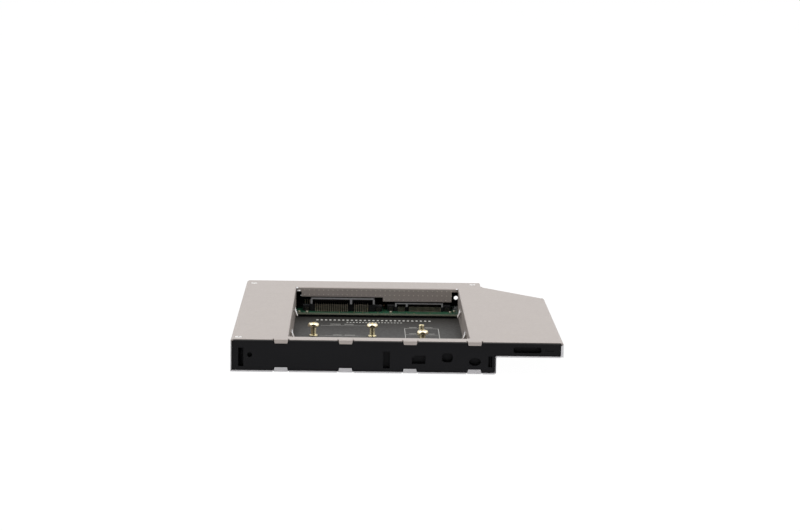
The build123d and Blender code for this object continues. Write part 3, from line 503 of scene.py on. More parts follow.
@dataclass
class Workshop:
    """Makes pieces out of meshes, and hands them to the frame.

    Lengths are in millimetres and angles in degrees. An edge past the corner angle is broken, by no more than
    a share of the room beside it, and it stays whole where its break would stray from the shape.
    """

    wardrobe: Wardrobe
    weld: float = 0.002
    flat_angle: float = 0.6
    corner_angle: float = 30.0
    least_turn: float = 0.3
    room_share: float = 0.4
    stray_share: float = 0.6
    stray_reach: float = 1.5
    tries: int = 4
    steadiness: int = 100

    def place(self, name: str, mesh: Mesh, finish: Finish, nodes: tuple[str, ...] = ()) -> None:
        """Put a finished mesh in the scene, riding on the root body.

        Args:
            name: Name of the piece.
            mesh: Its mesh, in metres in the row frame.
            finish: Finish that it is dressed in.
            nodes: CAD nodes that it stands for.
        """
        piece = stood(name, mesh)
        mesh.materials.clear()
        mesh.materials.append(self.wardrobe[finish])
        if nodes:
            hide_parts(*nodes)
        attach(piece, "root")
        log.info("%s: %d faces, %s", name, len(mesh.polygons), finish.value)

    def dress(self, node: str, finish: Finish) -> None:
        """Give a CAD node its finish."""
        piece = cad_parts[node]
        if not piece.material_slots:
            piece.data.materials.append(self.wardrobe[finish])
        for slot in piece.material_slots:
            slot.material = self.wardrobe[finish]
        log.info("%s: dressed in %s", node, finish.value)

    def room(self, edge: bmesh.types.BMEdge) -> float:
        """Widest break that the short edges beside an edge leave room for."""
        widest = math.inf
        for corner in edge.verts:
            along = (edge.other_vert(corner).co - corner.co).normalized()
            for face in edge.link_faces:
                for near in face.edges:
                    if near is edge or corner not in near.verts:
                        continue
                    side = near.other_vert(corner).co - corner.co
                    turn = side.normalized().cross(along).length
                    if turn > self.least_turn:
                        widest = min(widest, self.room_share * side.length * turn)
        return widest

    def weighted(self, mesh: Mesh) -> Mesh:
        """Turn the corner normals towards the large faces, so that flat faces look flat.

        Args:
            mesh: Mesh with its sharp edges marked.

        Returns:
            A mesh with the same faces and steadier normals.
        """
        source = stood("source", mesh)
        weigh = source.modifiers.new("weigh", "WEIGHTED_NORMAL")
        weigh.mode = "FACE_AREA"
        weigh.weight = self.steadiness
        weigh.keep_sharp = True
        return plain(source)

    def bevelled(self, work: bmesh.types.BMesh, width: float, segments: int) -> Mesh:
        """Break the weighted edges of a shape by a width, with so many faces across each."""
        mesh = bpy.data.meshes.new("shape")
        work.to_mesh(mesh)
        source = stood("source", mesh)
        bevel = source.modifiers.new("edges", "BEVEL")
        bevel.width = width
        bevel.segments = segments
        bevel.limit_method = "WEIGHT"
        bevel.use_clamp_overlap = False
        return smoothed(plain(source), BROKEN_SHARP)

    def softened(self, node: str, width: float, finish: Finish, segments: int = 2,
                 reshape: Callable[[Mesh], None] | None = None) -> None:
        """Stand in for a CAD node with the same shape whose edges are broken.

        Args:
            node: CAD node.
            width: Width of the broken edge.
            finish: Finish of the piece.
            segments: Faces across each edge.
            reshape: Last change to the mesh, which is still in millimetres.
        """
        work = bmesh.new()
        work.from_mesh(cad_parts[node].data)
        bmesh.ops.scale(work, verts=work.verts, vec=(1 / MM, 1 / MM, 1 / MM))
        bmesh.ops.remove_doubles(work, verts=work.verts, dist=self.weld)
        flat = math.radians(self.flat_angle)
        bmesh.ops.dissolve_limit(work, angle_limit=flat, verts=work.verts, edges=work.edges)
        share = work.edges.layers.float.new("bevel_weight_edge")
        for edge in work.edges:
            if edge.is_manifold and edge.calc_face_angle() > math.radians(self.corner_angle):
                edge[share] = min(1.0, self.room(edge) / width)
        ground = BVHTree.FromBMesh(work)
        far = self.stray_share * width
        for _ in range(self.tries):
            broken = self.bevelled(work, width, segments)
            strays = [v.co.copy() for v in broken.vertices if ground.find_nearest(v.co)[3] > far]
            if not strays:
                break
            for edge in work.edges:
                ends = [corner.co for corner in edge.verts]
                if edge[share] and any((end - s).length < self.stray_reach for end in ends for s in strays):
                    edge[share] = 0.0
        work.free()
        if reshape:
            reshape(broken)
        soft = self.weighted(broken)
        soft.transform(Matrix.Scale(MM, 4))
        self.place(node + "_piece", soft, finish, (node,))


class Repeater:
    """A Geometry Nodes tree that repeats the mesh it is put on."""

    def __init__(self, name: str) -> None:
        """Start the tree with a geometry input and output."""
        self.tree = bpy.data.node_groups.new(name, "GeometryNodeTree")
        self.face = self.tree.interface
        self.face.new_socket("Geometry", in_out="INPUT", socket_type="NodeSocketGeometry")
        self.face.new_socket("Geometry", in_out="OUTPUT", socket_type="NodeSocketGeometry")
        self.values: dict[str, object] = {}
        self.keys: dict[str, str] = {}

    def named(self, **inputs: tuple[str, object]) -> None:
        """Add named inputs, each given as its socket type and value."""
        for name, (kind, value) in inputs.items():
            socket = self.face.new_socket(name, in_out="INPUT", socket_type="NodeSocket" + kind)
            self.keys[name] = socket.identifier
            self.values[name] = value

    def node(self, kind: str, **settings: object) -> bpy.types.Node:
        """Add a node with its properties."""
        made = self.tree.nodes.new(kind)
        for key, value in settings.items():
            setattr(made, key, value)
        return made

    def link(self, source: Socket, target: Socket) -> None:
        """Link two sockets."""
        self.tree.links.new(source, target)

    def finish(self, points: Socket, entry: bpy.types.Node) -> None:
        """Put the input mesh on every point, make it real and give it its material."""
        put = self.node("GeometryNodeInstanceOnPoints")
        real = self.node("GeometryNodeRealizeInstances")
        paint = self.node("GeometryNodeSetMaterial")
        exit_node = self.node("NodeGroupOutput")
        self.link(points, put.inputs["Points"])
        self.link(entry.outputs["Geometry"], put.inputs["Instance"])
        self.link(put.outputs["Instances"], real.inputs["Geometry"])
        self.link(real.outputs["Geometry"], paint.inputs["Geometry"])
        self.link(entry.outputs["Material"], paint.inputs["Material"])
        self.link(paint.outputs["Geometry"], exit_node.inputs["Geometry"])

    def run(self, mesh: Mesh) -> Mesh:
        """Evaluate the tree on a mesh and return the plain result."""
        source = stood("source", mesh)
        modifier = source.modifiers.new("repeat", "NODES")
        modifier.node_group = self.tree
        for name, key in self.keys.items():
            modifier[key] = self.values[name]
        return smoothed(plain(source))


def row_of(shop: Workshop, mesh: Mesh, finish: Finish, start: Point, step: Point,
           count: int) -> Mesh:
    """Repeat a mesh along a straight row.

    Args:
        shop: Workshop that holds the finishes.
        mesh: Mesh around the origin.
        finish: Finish of the row.
        start: Place of the first one, in millimetres.
        step: Step from one to the next, in millimetres.
        count: How many.

    Returns:
        One mesh with the whole row.
    """
    rows = Repeater("row")
    rows.named(
        Start=("Vector", tuple(v * MM for v in start)),
        Step=("Vector", tuple(v * MM for v in step)),
        Count=("Int", count),
        Material=("Material", shop.wardrobe[finish]),
    )
    entry = rows.node("NodeGroupInput")
    line = rows.node("GeometryNodeMeshLine", mode="OFFSET")
    rows.link(entry.outputs["Start"], line.inputs["Start Location"])
    rows.link(entry.outputs["Step"], line.inputs["Offset"])
    rows.link(entry.outputs["Count"], line.inputs["Count"])
    rows.finish(line.outputs["Mesh"], entry)
    return rows.run(mesh)


def scattered(shop: Workshop, mesh: Mesh, finish: Finish, middle: Point, size: Pair,
              spacing: float, seed: int) -> Mesh:
    """Scatter a mesh over a flat rectangle.

    Args:
        shop: Workshop that holds the finishes.
        mesh: Mesh around the origin.
        finish: Finish of the pieces.
        middle: Middle of the rectangle, in millimetres.
        size: Its width and length, in millimetres.
        spacing: Least distance between two, in millimetres.
        seed: Seed of the scatter.

    Returns:
        One mesh with all of them.
    """
    scatter = Repeater("scatter")
    scatter.named(
        Middle=("Vector", tuple(v * MM for v in middle)),
        Width=("Float", size[0] * MM),
        Length=("Float", size[1] * MM),
        Spacing=("Float", spacing * MM),
        Seed=("Int", seed),
        Material=("Material", shop.wardrobe[finish]),
    )
    entry = scatter.node("NodeGroupInput")
    area = scatter.node("GeometryNodeMeshGrid")
    area.inputs["Vertices X"].default_value = 2
    area.inputs["Vertices Y"].default_value = 2
    move = scatter.node("GeometryNodeTransform")
    points = scatter.node("GeometryNodeDistributePointsOnFaces", distribute_method="POISSON")
    points.inputs["Density Max"].default_value = 1.0 / (spacing * MM) ** 2
    scatter.link(entry.outputs["Width"], area.inputs["Size X"])
    scatter.link(entry.outputs["Length"], area.inputs["Size Y"])
    scatter.link(area.outputs["Mesh"], move.inputs["Geometry"])
    scatter.link(entry.outputs["Middle"], move.inputs["Translation"])
    scatter.link(move.outputs["Geometry"], points.inputs["Mesh"])
    scatter.link(entry.outputs["Spacing"], points.inputs["Distance Min"])
    scatter.link(entry.outputs["Seed"], points.inputs["Seed"])
    scatter.finish(points.outputs["Points"], entry)
    return scatter.run(mesh)


def turned(profile: Sequence[Pair], middle: Pair = (0.0, 0.0), steps: int = 32) -> Mesh:
    """Turn a closed profile of (radius, height) in millimetres round an upright axis.

    Args:
        profile: Points that start and end on the axis, or close on themselves.
        middle: Plan place of the axis in millimetres.
        steps: Faces round the axis.

    Returns:
        A closed mesh with outward faces.
    """
    work = bmesh.new()
    corners = [work.verts.new((r * MM, 0.0, z * MM)) for r, z in profile]
    edges = [work.edges.new(pair) for pair in zip(corners, corners[1:])]
    if profile[0][0] > 0.0:
        edges.append(work.edges.new((corners[-1], corners[0])))
    bmesh.ops.spin(work, geom=corners + edges, cent=(0, 0, 0), axis=(0, 0, 1), angle=math.tau, steps=steps)
    bmesh.ops.remove_doubles(work, verts=work.verts, dist=SEAM * MM)
    bmesh.ops.translate(work, verts=work.verts, vec=(middle[0] * MM, middle[1] * MM, 0.0))
    bmesh.ops.recalc_face_normals(work, faces=work.faces)
    return taken(work, "turned")


def plates(rectangles: Sequence[Strip], z: Pair) -> Mesh:
    """Flat rectangles (x, y, width, length) in millimetres between two heights, as one mesh."""
    work = bmesh.new()
    for x, y, wide, long in rectangles:
        size = Matrix.Diagonal((wide * MM, long * MM, (z[1] - z[0]) * MM, 1.0))
        place = Matrix.Translation((x * MM, y * MM, (z[0] + z[1]) / 2 * MM))
        bmesh.ops.create_cube(work, size=1.0, matrix=place @ size)
    return taken(work, "plates")


def wrapped(groups: list[list[Point]]) -> Mesh:
    """One small solid round each group of points in millimetres."""
    work = bmesh.new()
    for group in groups:
        corners = [work.verts.new(Vector(point) * MM) for point in group]
        bmesh.ops.convex_hull(work, input=corners)
    bmesh.ops.recalc_face_normals(work, faces=work.faces)
    return taken(work, "wrapped")


def merged(meshes: list[Mesh]) -> Mesh:
    """Join several meshes into one, smooth between sharp edges."""
    work = bmesh.new()
    for mesh in meshes:
        work.from_mesh(mesh)
    return smoothed(taken(work, "whole"))


@dataclass
class Studio:
    """Camera at the photograph's place, white floor and soft light.

    The eye, the lens, the sensor and the drop of the floor are in millimetres, other lengths in metres, angles
    in degrees and powers in watts.
    """

    eye: Point = (-16.11, -888.31, 185.41)
    heading: float = 1.155
    pitch: float = 9.852
    roll: float = -0.950
    lens: float = 98.88
    sensor: float = 36.0
    clip: Pair = (0.01, 20.0)
    key_place: Point = (0.58, 0.05, 1.25)
    key_size: float = 0.7
    key_power: float = 4.8
    side_place: Point = (0.9, -0.12, 0.35)
    side_size: float = 0.14
    side_power: float = 0.25
    ambient: float = 0.41
    floor_size: float = 4.0
    floor_drop: float = 0.02
    floor_grey: float = 0.86
    floor_glow: float = 1.05
    glow_share: float = 0.93
    card: Point = (1.6, -1.25, 2.4)
    card_foot: float = 0.02
    card_colour: Colour = tone(20, 20, 20)
    card_roughness: float = 0.9

    def camera(self) -> None:
        """Set the camera."""
        az, down, turn = (math.radians(v) for v in (self.heading, self.pitch, self.roll))
        ahead = Vector((math.sin(az) * math.cos(down), math.cos(az) * math.cos(down), -math.sin(down)))
        side = Vector((math.cos(az), -math.sin(az), 0.0))
        low = ahead.cross(side)
        right = math.cos(turn) * side + math.sin(turn) * low
        under = -math.sin(turn) * side + math.cos(turn) * low
        data = bpy.data.cameras.new("camera")
        data.lens = self.lens
        data.sensor_width = self.sensor
        data.clip_start, data.clip_end = self.clip
        camera = stood("camera", data)
        axes = Matrix((right, -under, -ahead)).transposed().to_4x4()
        camera.matrix_world = Matrix.Translation(Vector(self.eye) * MM) @ axes
        bpy.context.scene.camera = camera

    def floor(self) -> None:
        """Lay the white floor, which shows as white and keeps a soft shadow."""
        work = bmesh.new()
        bmesh.ops.create_grid(work, x_segments=8, y_segments=8, size=self.floor_size)
        bmesh.ops.translate(work, verts=work.verts, vec=(0.0, 0.0, -self.floor_drop * MM))
        floor = stood("floor", taken(work, "floor"))
        floor.data.materials.append(self.white_cover())

    def seen(self, tree: bpy.types.NodeTree) -> Socket:
        """1 for rays that see the backdrop straight, in gloss or through glass."""
        path = tree.nodes.new("ShaderNodeLightPath")
        total = path.outputs["Is Camera Ray"]
        for name in ("Is Glossy Ray", "Is Transmission Ray"):
            node = tree.nodes.new("ShaderNodeMath")
            node.operation = "MAXIMUM"
            tree.links.new(total, node.inputs[0])
            tree.links.new(path.outputs[name], node.inputs[1])
            total = node.outputs["Value"]
        return total

    def white_cover(self) -> bpy.types.Material:
        """Material of the floor, which is white cloth to the light and glows for the rays that see it."""
        material = bpy.data.materials.new("floor_white")
        material.use_nodes = True
        tree = material.node_tree
        tree.nodes.clear()
        cloth = tree.nodes.new("ShaderNodeBsdfDiffuse")
        cloth.inputs["Color"].default_value = (self.floor_grey, self.floor_grey, self.floor_grey, 1.0)
        glow = tree.nodes.new("ShaderNodeEmission")
        glow.inputs["Color"].default_value = (1.0, 1.0, 1.0, 1.0)
        glow.inputs["Strength"].default_value = self.floor_glow
        part = tree.nodes.new("ShaderNodeMath")
        part.operation = "MULTIPLY"
        part.inputs[1].default_value = self.glow_share
        mix = tree.nodes.new("ShaderNodeMixShader")
        out = tree.nodes.new("ShaderNodeOutputMaterial")
        tree.links.new(self.seen(tree), part.inputs[0])
        tree.links.new(part.outputs["Value"], mix.inputs[0])
        tree.links.new(cloth.outputs["BSDF"], mix.inputs[1])
        tree.links.new(glow.outputs["Emission"], mix.inputs[2])
        tree.links.new(mix.outputs["Shader"], out.inputs["Surface"])
        return material

    def dark_card(self) -> None:
        """Stand a black card behind the camera, so that metal shows a dark middle as in a dim room."""
        half, y, high = self.card
        low = self.card_foot
        mesh = bpy.data.meshes.new("dark_card")
        corners = [(-half, y, low), (half, y, low), (half, y, high), (-half, y, high)]
        mesh.from_pydata(corners, [], [(0, 1, 2, 3)])
        card = stood("dark_card", mesh)
        black = bpy.data.materials.new("card_black")
        black.use_nodes = True
        shader = black.node_tree.nodes["Principled BSDF"]
        shader.inputs["Base Color"].default_value = self.card_colour
        shader.inputs["Roughness"].default_value = self.card_roughness
        mesh.materials.append(black)
        card.visible_camera = False
        card.visible_diffuse = False
        card.visible_shadow = False

    def sky(self) -> None:
        """White backdrop that lights the object softly."""
        world = bpy.data.worlds.new("studio")
        world.use_nodes = True
        tree = world.node_tree
        back = tree.nodes["Background"]
        back.inputs["Color"].default_value = (1.0, 1.0, 1.0, 1.0)
        level = tree.nodes.new("ShaderNodeMapRange")
        level.inputs["To Min"].default_value = self.ambient
        level.inputs["To Max"].default_value = 1.0
        tree.links.new(self.seen(tree), level.inputs["Value"])
        tree.links.new(level.outputs["Result"], back.inputs["Strength"])
        bpy.context.scene.world = world

    def lamp(self, name: str, place: Point, size: float, power: float) -> None:
        """Add a square soft light that faces the middle of the object's foot.

        Args:
            name: Name of the light.
            place: Where it hangs, in metres.
            size: Its side in metres.
            power: Its power in watts.
        """
        data = bpy.data.lights.new(name, "AREA")
        data.size = size
        data.energy = power
        turn = (-Vector(place)).to_track_quat("-Z", "Y").to_matrix().to_4x4()
        stood(name, data).matrix_world = Matrix.Translation(place) @ turn

    def build(self) -> None:
        """Set up the whole studio."""
        self.camera()
        self.floor()
        self.sky()
        lamps = (
            ("key", self.key_place, self.key_size, self.key_power),
            ("side", self.side_place, self.side_size, self.side_power),
        )
        for name, (x, y, z), size, power in lamps:
            self.lamp("left_" + name, (-x, y, z), size, power)
            self.lamp("right_" + name, (x, y, z), size, power)
        self.dark_card()
        bpy.context.scene.view_settings.view_transform = "Standard"
        log.info("studio set")


@dataclass
class SheetCovers:
    """Top and bottom covers, with the dots of the rear flange and the cut edges of the sheet, with painted
    highlights on the dots, tongues, bay corners and some edges, and painted shade on the cut edges and other
    strips.

    Each row of dots has its first place along X and its count, from the top row down. A wall of the bay has
    its place and the way inwards, an edge strip its middle, its width and its two heights, and a painted glint
    at a corner of the bay its two sides and its two heights.
    """

    shop: Workshop
    edge: float = 0.07
    strip_depth: float = 0.03
    flange_y: float = 48.0
    dot_pitch: Pair = (2.05, 1.98)
    dot_rows: tuple[tuple[float, int], ...] = ((-38.35, 32), (-38.35, 32), (-3.75, 15))
    dot_top_z: float = 11.48
    dot_radius: float = 0.26
    dot_height: float = 0.16
    dot_root: float = 0.05
    dot_proud: float = 0.01
    dot_rings: int = 5
    dot_sides: int = 12
    front: float = -63.3
    tab_first: float = -44.6
    tab_pitch: float = 24.8
    tab_half: float = 3.25
    tabs: int = 4
    ends: Pair = (-62.9, 62.9)
    cut_z: Pair = (12.19, 12.6)
    walls: tuple[Pair, ...] = ((-41.5, 1.0), (27.7, -1.0))
    tongue_fronts: tuple[float, ...] = (15.8, -30.2)
    tongue_z: Pair = (6.4, 9.8)
    tongue_reach: float = 1.1
    tongue_lean: float = 3.0
    tongue_heel: float = 0.5
    corners: tuple[Strip, ...] = (
        (-42.1, -41.1, 12.25, 12.75), (-41.7, -40.2, 11.1, 11.6),
        (-40.15, -39.8, 9.05, 9.35), (27.2, 27.9, 12.45, 12.75),
    )
    corner_y: Pair = (47.5, 48.1)
    bend: float = 1.0
    bend_slack: float = 1.03
    bend_middle: Pair = (63.0, 11.7)
    cut_reach: float = 1e-4
    least_side: float = 1e-3
    # Edge strips in near-white paint: painted highlight.
    highlight_edges: tuple[Strip, ...] = (
        (-63.84, 0.3, 0.7, 11.9), (38.12, 0.16, 0.7, 6.6), (63.74, 0.5, 7.0, 11.9),
    )
    # Edge strips in dark paint: painted shade.
    shaded_edges: tuple[Strip, ...] = (
        (-63.54, 0.3, 0.5, 12.1), (37.87, 0.34, 0.5, 6.7),
    )

    def dot(self) -> Mesh:
        """One shallow pressed dot that faces the front."""
        profile = []
        for i in range(self.dot_rings + 1):
            angle = math.radians(90.0 * i / self.dot_rings)
            profile.append((self.dot_radius * math.sin(angle), self.dot_height * math.cos(angle)))
        profile.append((0.0, -self.dot_root))
        mesh = turned(profile, steps=self.dot_sides)
        mesh.transform(Matrix.Rotation(math.radians(90.0), 4, "X"))
        return mesh

    def dots(self) -> Mesh:
        """Rows of dots over the whole rear flange, in a lighter paint that is a painted highlight."""
        pitch_x, pitch_z = self.dot_pitch
        y = self.flange_y - self.dot_proud
        rows = []
        for i, (x, count) in enumerate(self.dot_rows):
            start = (x, y, self.dot_top_z - i * pitch_z)
            rows.append(row_of(self.shop, self.dot(), Finish.DOT_HIGHLIGHT, start, (pitch_x, 0.0, 0.0), count))
        return merged(rows)

    def cut_edges(self) -> Mesh:
        """Cut edge of the top sheet between the front tabs, in a dark paint that is painted shade."""
        tabs = [self.tab_first + i * self.tab_pitch for i in range(self.tabs)]
        starts = [self.ends[0]] + [x + self.tab_half for x in tabs]
        stops = [x - self.tab_half for x in tabs] + [self.ends[1]]
        strips = [((a + b) / 2, self.front, b - a, self.strip_depth) for a, b in zip(starts, stops)]
        return plates(strips, self.cut_z)

    def bend_corners(self, mesh: Mesh) -> None:
        """Carry the side bends on through the plate's corners, where the folds are notched.

        Args:
            mesh: Top cover in millimetres, which is changed.
        """
        middle_x, middle_z = self.bend_middle
        work = bmesh.new()
        work.from_mesh(mesh)
        for x in (-middle_x, middle_x):
            everything = [*work.verts, *work.edges, *work.faces]
            bmesh.ops.bisect_plane(
                work, geom=everything, dist=self.cut_reach, plane_co=(x, 0.0, 0.0), plane_no=(1.0, 0.0, 0.0),
            )
        for corner in work.verts:
            x = abs(corner.co.x) - middle_x
            z = corner.co.z - middle_z
            reach = math.hypot(x, z)
            if x > 0.0 and z > 0.0 and reach > self.bend_slack * self.bend:
                share = self.bend / reach
                corner.co.x = math.copysign(middle_x + x * share, corner.co.x)
                corner.co.z = middle_z + z * share
        bmesh.ops.dissolve_degenerate(work, dist=self.least_side, edges=work.edges)
        work.to_mesh(mesh)
        work.free()
        mesh.set_sharp_from_angle(angle=math.radians(BROKEN_SHARP))

    def tongue_glints(self) -> Mesh:
        """Closed front of each tongue, where the sheet is drawn out of the flange, in near-white paint that is
        a painted highlight.
        """
        low, high = self.tongue_z
        groups = []
        for wall, inward in self.walls:
            for y in self.tongue_fronts:
                tip = wall + inward * self.tongue_reach
                back = y + self.tongue_lean
                heel = (wall, y, low + self.tongue_heel)
                groups.append([(wall, back, high), heel, (tip, y, low), (wall, back, low)])
        return wrapped(groups)

    def corner_glints(self) -> Mesh:
        """Near-white painted glints where the folds end at the rear corners of the bay."""
        near, far = self.corner_y
        groups = []
        for left, right, low, high in self.corners:
            groups.append([(left, near, low), (right, near, low), (right, far, high), (left, far, high),
                           (left, far, low), (right, far, low)])
        return wrapped(groups)

    def build(self) -> None:
        """Make the covers, their edges with painted highlight and painted shade, the painted glints and the
        dots.
        """
        self.shop.place("tongue_glints", self.tongue_glints(), Finish.PAINTED_GLINT)
        self.shop.place("bay_corner_glints", self.corner_glints(), Finish.PAINTED_GLINT)
        # Strips named bare carry painted highlight, and those named dark carry painted shade.
        sides = (("bare", self.highlight_edges, Finish.PAINTED_GLINT), ("dark", self.shaded_edges, Finish.SHADED_EDGE))
        depth = self.strip_depth
        for name, edges, finish in sides:
            strips = [plates([(x, self.front, wide, depth)], (low, high)) for x, wide, low, high in edges]
            self.shop.place(name + "_side_edges", merged(strips), finish)
        self.shop.softened("top_cover", self.edge, Finish.SILVER_PAINT, reshape=self.bend_corners)
        # The bottom cover wears the lighter copy of the sheet's paint, which is painted light.
        self.shop.softened("bottom_cover", self.edge, Finish.SILVER_PAINTED_LIGHT)
        self.shop.place("top_cover_cut_edges", self.cut_edges(), Finish.SHADED_EDGE)
        self.shop.place("rear_flange_dots", self.dots(), Finish.DOT_HIGHLIGHT)


@dataclass
class FrameMoulding:
    """The black moulded frame."""

    shop: Workshop
    edge: float = 0.12

    def build(self) -> None:
        """Make the frame."""
        self.shop.softened("moulded_frame", self.edge, Finish.BLACK_PLASTIC)


@dataclass(frozen=True)
class TickRow:
    """A printed row of equal ticks, in millimetres."""

    start: Pair
    pitch: float
    count: int
    size: Pair


@dataclass
class CardBed:
    """The black mounting board with its plain marks, standoffs and card screws.

    A line or bar has the place of its middle and its length. The foot of a standoff is a section of radius
    and height. Its rim and the mouth of its hole have a radius and a depth below the seat, and a turn of the
    thread has the depths of its groove, of the groove's end and of the next turn.
    """

    shop: Workshop
    board_edge: float = 0.06
    screw_edge: float = 0.09
    screw_segments: int = 3
    ink: Pair = (1.49, 1.53)
    line: float = 0.22
    bar: float = 0.5
    cross_lines: tuple[Point, ...] = (
        (-21.2, 20.5, 19.0), (-21.3, -1.0, 19.4),
        (11.55, 16.0, 14.1), (11.55, 3.0, 14.1), (11.55, -15.0, 14.1),
    )
    long_lines: tuple[Point, ...] = ((4.5, -6.0, 44.0), (18.6, -6.0, 44.0))
    bars: tuple[Point, ...] = (
        (-24.6, 23.4, 4.4), (-18.9, 23.4, 4.0), (-23.6, 0.8, 3.6), (-18.4, 0.8, 4.2),
        (8.0, 18.2, 3.2), (14.6, 18.2, 3.2), (7.6, 5.0, 3.0), (15.2, 5.0, 3.0),
    )
    tick_rows: tuple[TickRow, ...] = (
        TickRow((-32.4, 32.2), 1.84, 27, (0.9, 1.9)), TickRow((-19.6, 27.6), 1.34, 18, (0.7, 1.1)),
    )
    msata_posts: tuple[Pair, ...] = ((-33.4, -1.05), (-9.2, -1.05))
    msata_seat: float = 5.5
    m2_seat: float = 5.6
    near_post: Pair = (11.2, 3.8)
    far_post: Pair = (11.2, -14.2)
    foot: tuple[Pair, ...] = (
        (0.0, 0.5), (1.0, 0.5), (1.0, 1.5), (1.68, 1.5), (1.75, 1.57),
        (1.75, 1.87), (1.66, 1.95), (1.15, 1.98), (1.1, 2.05),
    )
    body: float = 1.1
    rim: Pair = (1.0, 0.12)
    mouth: Pair = (0.88, 0.1)
    bore: float = 0.8
    groove: float = 0.86
    thread: Point = (0.1, 0.2, 0.25)
    thread_end: float = 1.9
    hole_floor: float = 1.6

    def post_profile(self, seat: float) -> list[Pair]:
        """Section of a standoff with a swaged foot and a threaded hole, up to the height of its seat."""
        rim, rim_depth = self.rim
        mouth, mouth_depth = self.mouth
        middle, end, pitch = self.thread
        depth = seat - mouth_depth
        profile = [*self.foot, (self.body, seat - rim_depth), (rim, seat), (mouth, seat), (self.bore, depth)]
        while depth > self.thread_end:
            profile += [(self.groove, depth - middle), (self.bore, depth - end), (self.bore, depth - pitch)]
            depth -= pitch
        return profile + [(0.0, self.hole_floor)]

    def posts(self) -> None:
        """Turn the standoffs."""
        outer = [turned(self.post_profile(self.msata_seat), place) for place in self.msata_posts]
        self.shop.place("msata_standoffs_piece", merged(outer), Finish.STANDOFF_BRASS, ("msata_standoffs",))
        for node, place in (("m2_near_standoff", self.near_post), ("m2_far_standoff", self.far_post)):
            post = smoothed(turned(self.post_profile(self.m2_seat), place))
            self.shop.place(node + "_piece", post, Finish.STANDOFF_BRASS, (node,))

    def marks(self) -> None:
        """Lines that show where cards lie, with plain bars and two rows of ticks."""
        flat = [(x, y, long, self.line) for x, y, long in self.cross_lines]
        flat += [(x, y, self.line, long) for x, y, long in self.long_lines]
        flat += [(x, y, long, self.bar) for x, y, long in self.bars]
        meshes = [plates(flat, self.ink)]
        for row in self.tick_rows:
            tick = plates([(0.0, 0.0, *row.size)], self.ink)
            start, step = (*row.start, 0.0), (row.pitch, 0.0, 0.0)
            meshes.append(row_of(self.shop, tick, Finish.INK_WHITE, start, step, row.count))
        self.shop.place("board_marks", merged(meshes), Finish.INK_WHITE)

    def build(self) -> None:
        """Make the board and what stands on it."""
        self.shop.softened("mounting_board", self.board_edge, Finish.BOARD_BLACK)
        self.marks()
        self.posts()
        for node in ("msata_card_screws", "m2_card_screw"):
            self.shop.softened(node, self.screw_edge, Finish.SCREW_GOLD, self.screw_segments)


@dataclass(frozen=True)
class ViaField:
    """A rectangle of the green board with scattered plated holes, in millimetres."""

    middle: Pair
    size: Pair
    spacing: float
    seed: int


@dataclass
class AdapterBoard:
    """The green board with its small parts.

    The ring of a plated hole is a closed section of radius and height. Each small part is a CAD node with the
    width of its broken edges and its finish.
    """

    shop: Workshop
    top: float = 3.3
    board_edge: float = 0.05
    screw_edge: float = 0.06
    via_ring: tuple[Pair, ...] = (
        (0.12, 0.0), (0.3, 0.0), (0.3, 0.03), (0.27, 0.045), (0.14, 0.045), (0.12, 0.03),
    )
    via_sides: int = 12
    via_sunk: float = 0.005
    via_fields: tuple[ViaField, ...] = (
        ViaField((-6.95, 40.3), (66.0, 1.6), 2.4, 7), ViaField((-3.6, 46.5), (1.6, 7.0), 1.5, 11),
    )
    small_parts: tuple[tuple[str, float, Finish], ...] = (
        ("regulator_chip", 0.08, Finish.CHIP_BLACK),
        ("switch_chip", 0.06, Finish.CHIP_BLACK),
        ("inductor", 0.12, Finish.INDUCTOR_GREY),
        ("ceramic_capacitors", 0.05, Finish.CAPACITOR_TAN),
        ("chip_resistors", 0.03, Finish.RESISTOR_BLACK),
    )

    def vias(self) -> None:
        """Plated holes on the strip in front of the sockets and between them."""
        fields = []
        for area in self.via_fields:
            ring = turned(self.via_ring, steps=self.via_sides)
            middle = (*area.middle, self.top - self.via_sunk)
            spread = (area.size, area.spacing, area.seed)
            fields.append(scattered(self.shop, ring, Finish.PAD_GOLD, middle, *spread))
        self.shop.place("adapter_board_vias", merged(fields), Finish.PAD_GOLD)

    def build(self) -> None:
        """Make the board and dress its parts."""
        self.shop.softened("adapter_board", self.board_edge, Finish.BOARD_GREEN)
        self.vias()
        for node, width, finish in self.small_parts:
            self.shop.softened(node, width, finish)
        self.shop.dress("solder_joints", Finish.SOLDER_TIN)
        self.shop.softened("adapter_board_screws", self.screw_edge, Finish.SCREW_STEEL)


class SocketKind(Enum):
    """The two keyed card sockets."""

    MSATA = "msata"
    M2 = "m2"


@dataclass(frozen=True)
class RibHighlights:
    """Faces of a socket's end walls, key and upper lip in pale plastic, a painted highlight, in millimetres.
    """

    spans: tuple[Pair, ...]
    front: float
    z: Pair
    lip: Pair
    lip_z: Pair


RIB_HIGHLIGHTS = {
    SocketKind.MSATA: RibHighlights(
        ((-35.6, -34.8), (-18.65, -17.7), (-8.8, -8.0)), 42.5, (6.5, 8.5), (-35.2, -8.4), (8.55, 9.15),
    ),
    SocketKind.M2: RibHighlights(
        ((0.85, 1.55), (5.5, 6.3), (20.85, 21.55)), 44.3, (5.3, 6.5), (0.9, 21.5), (6.5, 6.9),
    ),
}


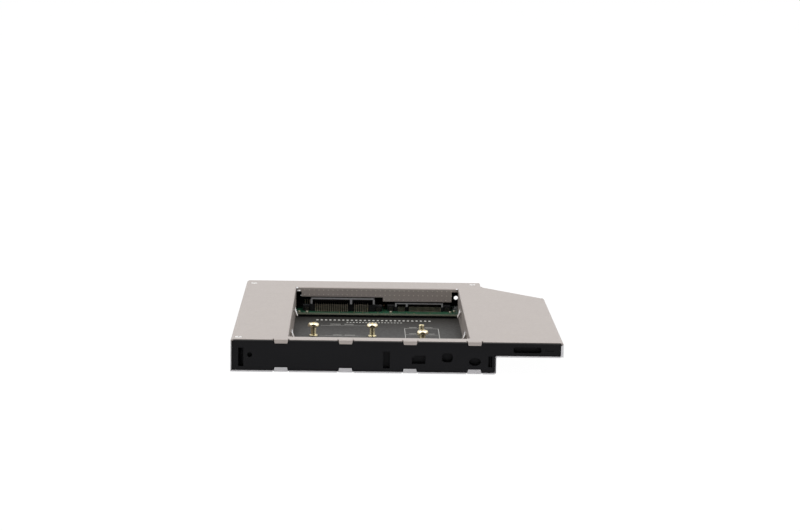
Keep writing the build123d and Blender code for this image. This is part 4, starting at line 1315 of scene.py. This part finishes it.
@dataclass
class CardSocket:
    """A keyed card socket: housing, two rows of contacts and two clips."""

    shop: Workshop
    kind: SocketKind
    rib_depth: float = 0.06
    housing_edge: float = 0.06
    clip_edge: float = 0.04
    contact_edge: float = 0.02

    def rib_highlights(self) -> Mesh:
        """Slightly proud faces of the end walls, of the key and of the upper lip, in pale plastic that is a
        painted highlight.
        """
        faces = RIB_HIGHLIGHTS[self.kind]
        strips = [((a + b) / 2, faces.front, b - a, self.rib_depth) for a, b in (*faces.spans, faces.lip)]
        return merged([plates(strips[:-1], faces.z), plates(strips[-1:], faces.lip_z)])

    def build(self) -> None:
        """Make the socket."""
        name = self.kind.value
        # Pale strips on the socket's front are painted highlight.
        self.shop.place(name + "_socket_rib_highlights", self.rib_highlights(), Finish.RIB_HIGHLIGHT)
        self.shop.softened(name + "_socket_housing", self.housing_edge, Finish.CONNECTOR_BLACK)
        # Clips in the dark tin tone, which is painted shade.
        self.shop.softened(name + "_socket_clips", self.clip_edge, Finish.SHADED_CLIP_TIN)
        self.shop.softened(name + "_lower_contacts", self.contact_edge, Finish.CONTACT_GOLD)
        self.shop.softened(name + "_upper_contacts", self.contact_edge, Finish.CONTACT_GOLD)


@dataclass
class ComputerPlug:
    """The plug at the rear."""

    shop: Workshop
    housing_edge: float = 0.08
    clip_edge: float = 0.04

    def build(self) -> None:
        """Make the plug."""
        self.shop.softened("sata_plug_housing", self.housing_edge, Finish.CONNECTOR_BLACK)
        # Clips in the dark tin tone, which is painted shade.
        self.shop.softened("sata_plug_clips", self.clip_edge, Finish.SHADED_CLIP_TIN)
        self.shop.dress("sata_plug_contacts", Finish.CONTACT_GOLD)


@dataclass
class CoverScrews:
    """Flush screws in the corners of both covers."""

    shop: Workshop
    edge: float = 0.05

    def build(self) -> None:
        """Make the screws."""
        for node in ("top_cover_screws", "bottom_cover_screws"):
            self.shop.softened(node, self.edge, Finish.SCREW_STEEL)


def main() -> None:
    """Build the scene in order, and log each part as it is ready."""
    logging.basicConfig(level=logging.INFO, format="%(name)s %(message)s", stream=sys.stdout)
    shop = Workshop(Wardrobe())
    parts = [
        Studio(),
        SheetCovers(shop),
        FrameMoulding(shop),
        CardBed(shop),
        AdapterBoard(shop),
        CardSocket(shop, SocketKind.MSATA),
        CardSocket(shop, SocketKind.M2),
        ComputerPlug(shop),
        CoverScrews(shop),
    ]
    for part in parts:
        part.build()
        log.info("%s ready", type(part).__name__)


if __name__ == "__main__":
    main()
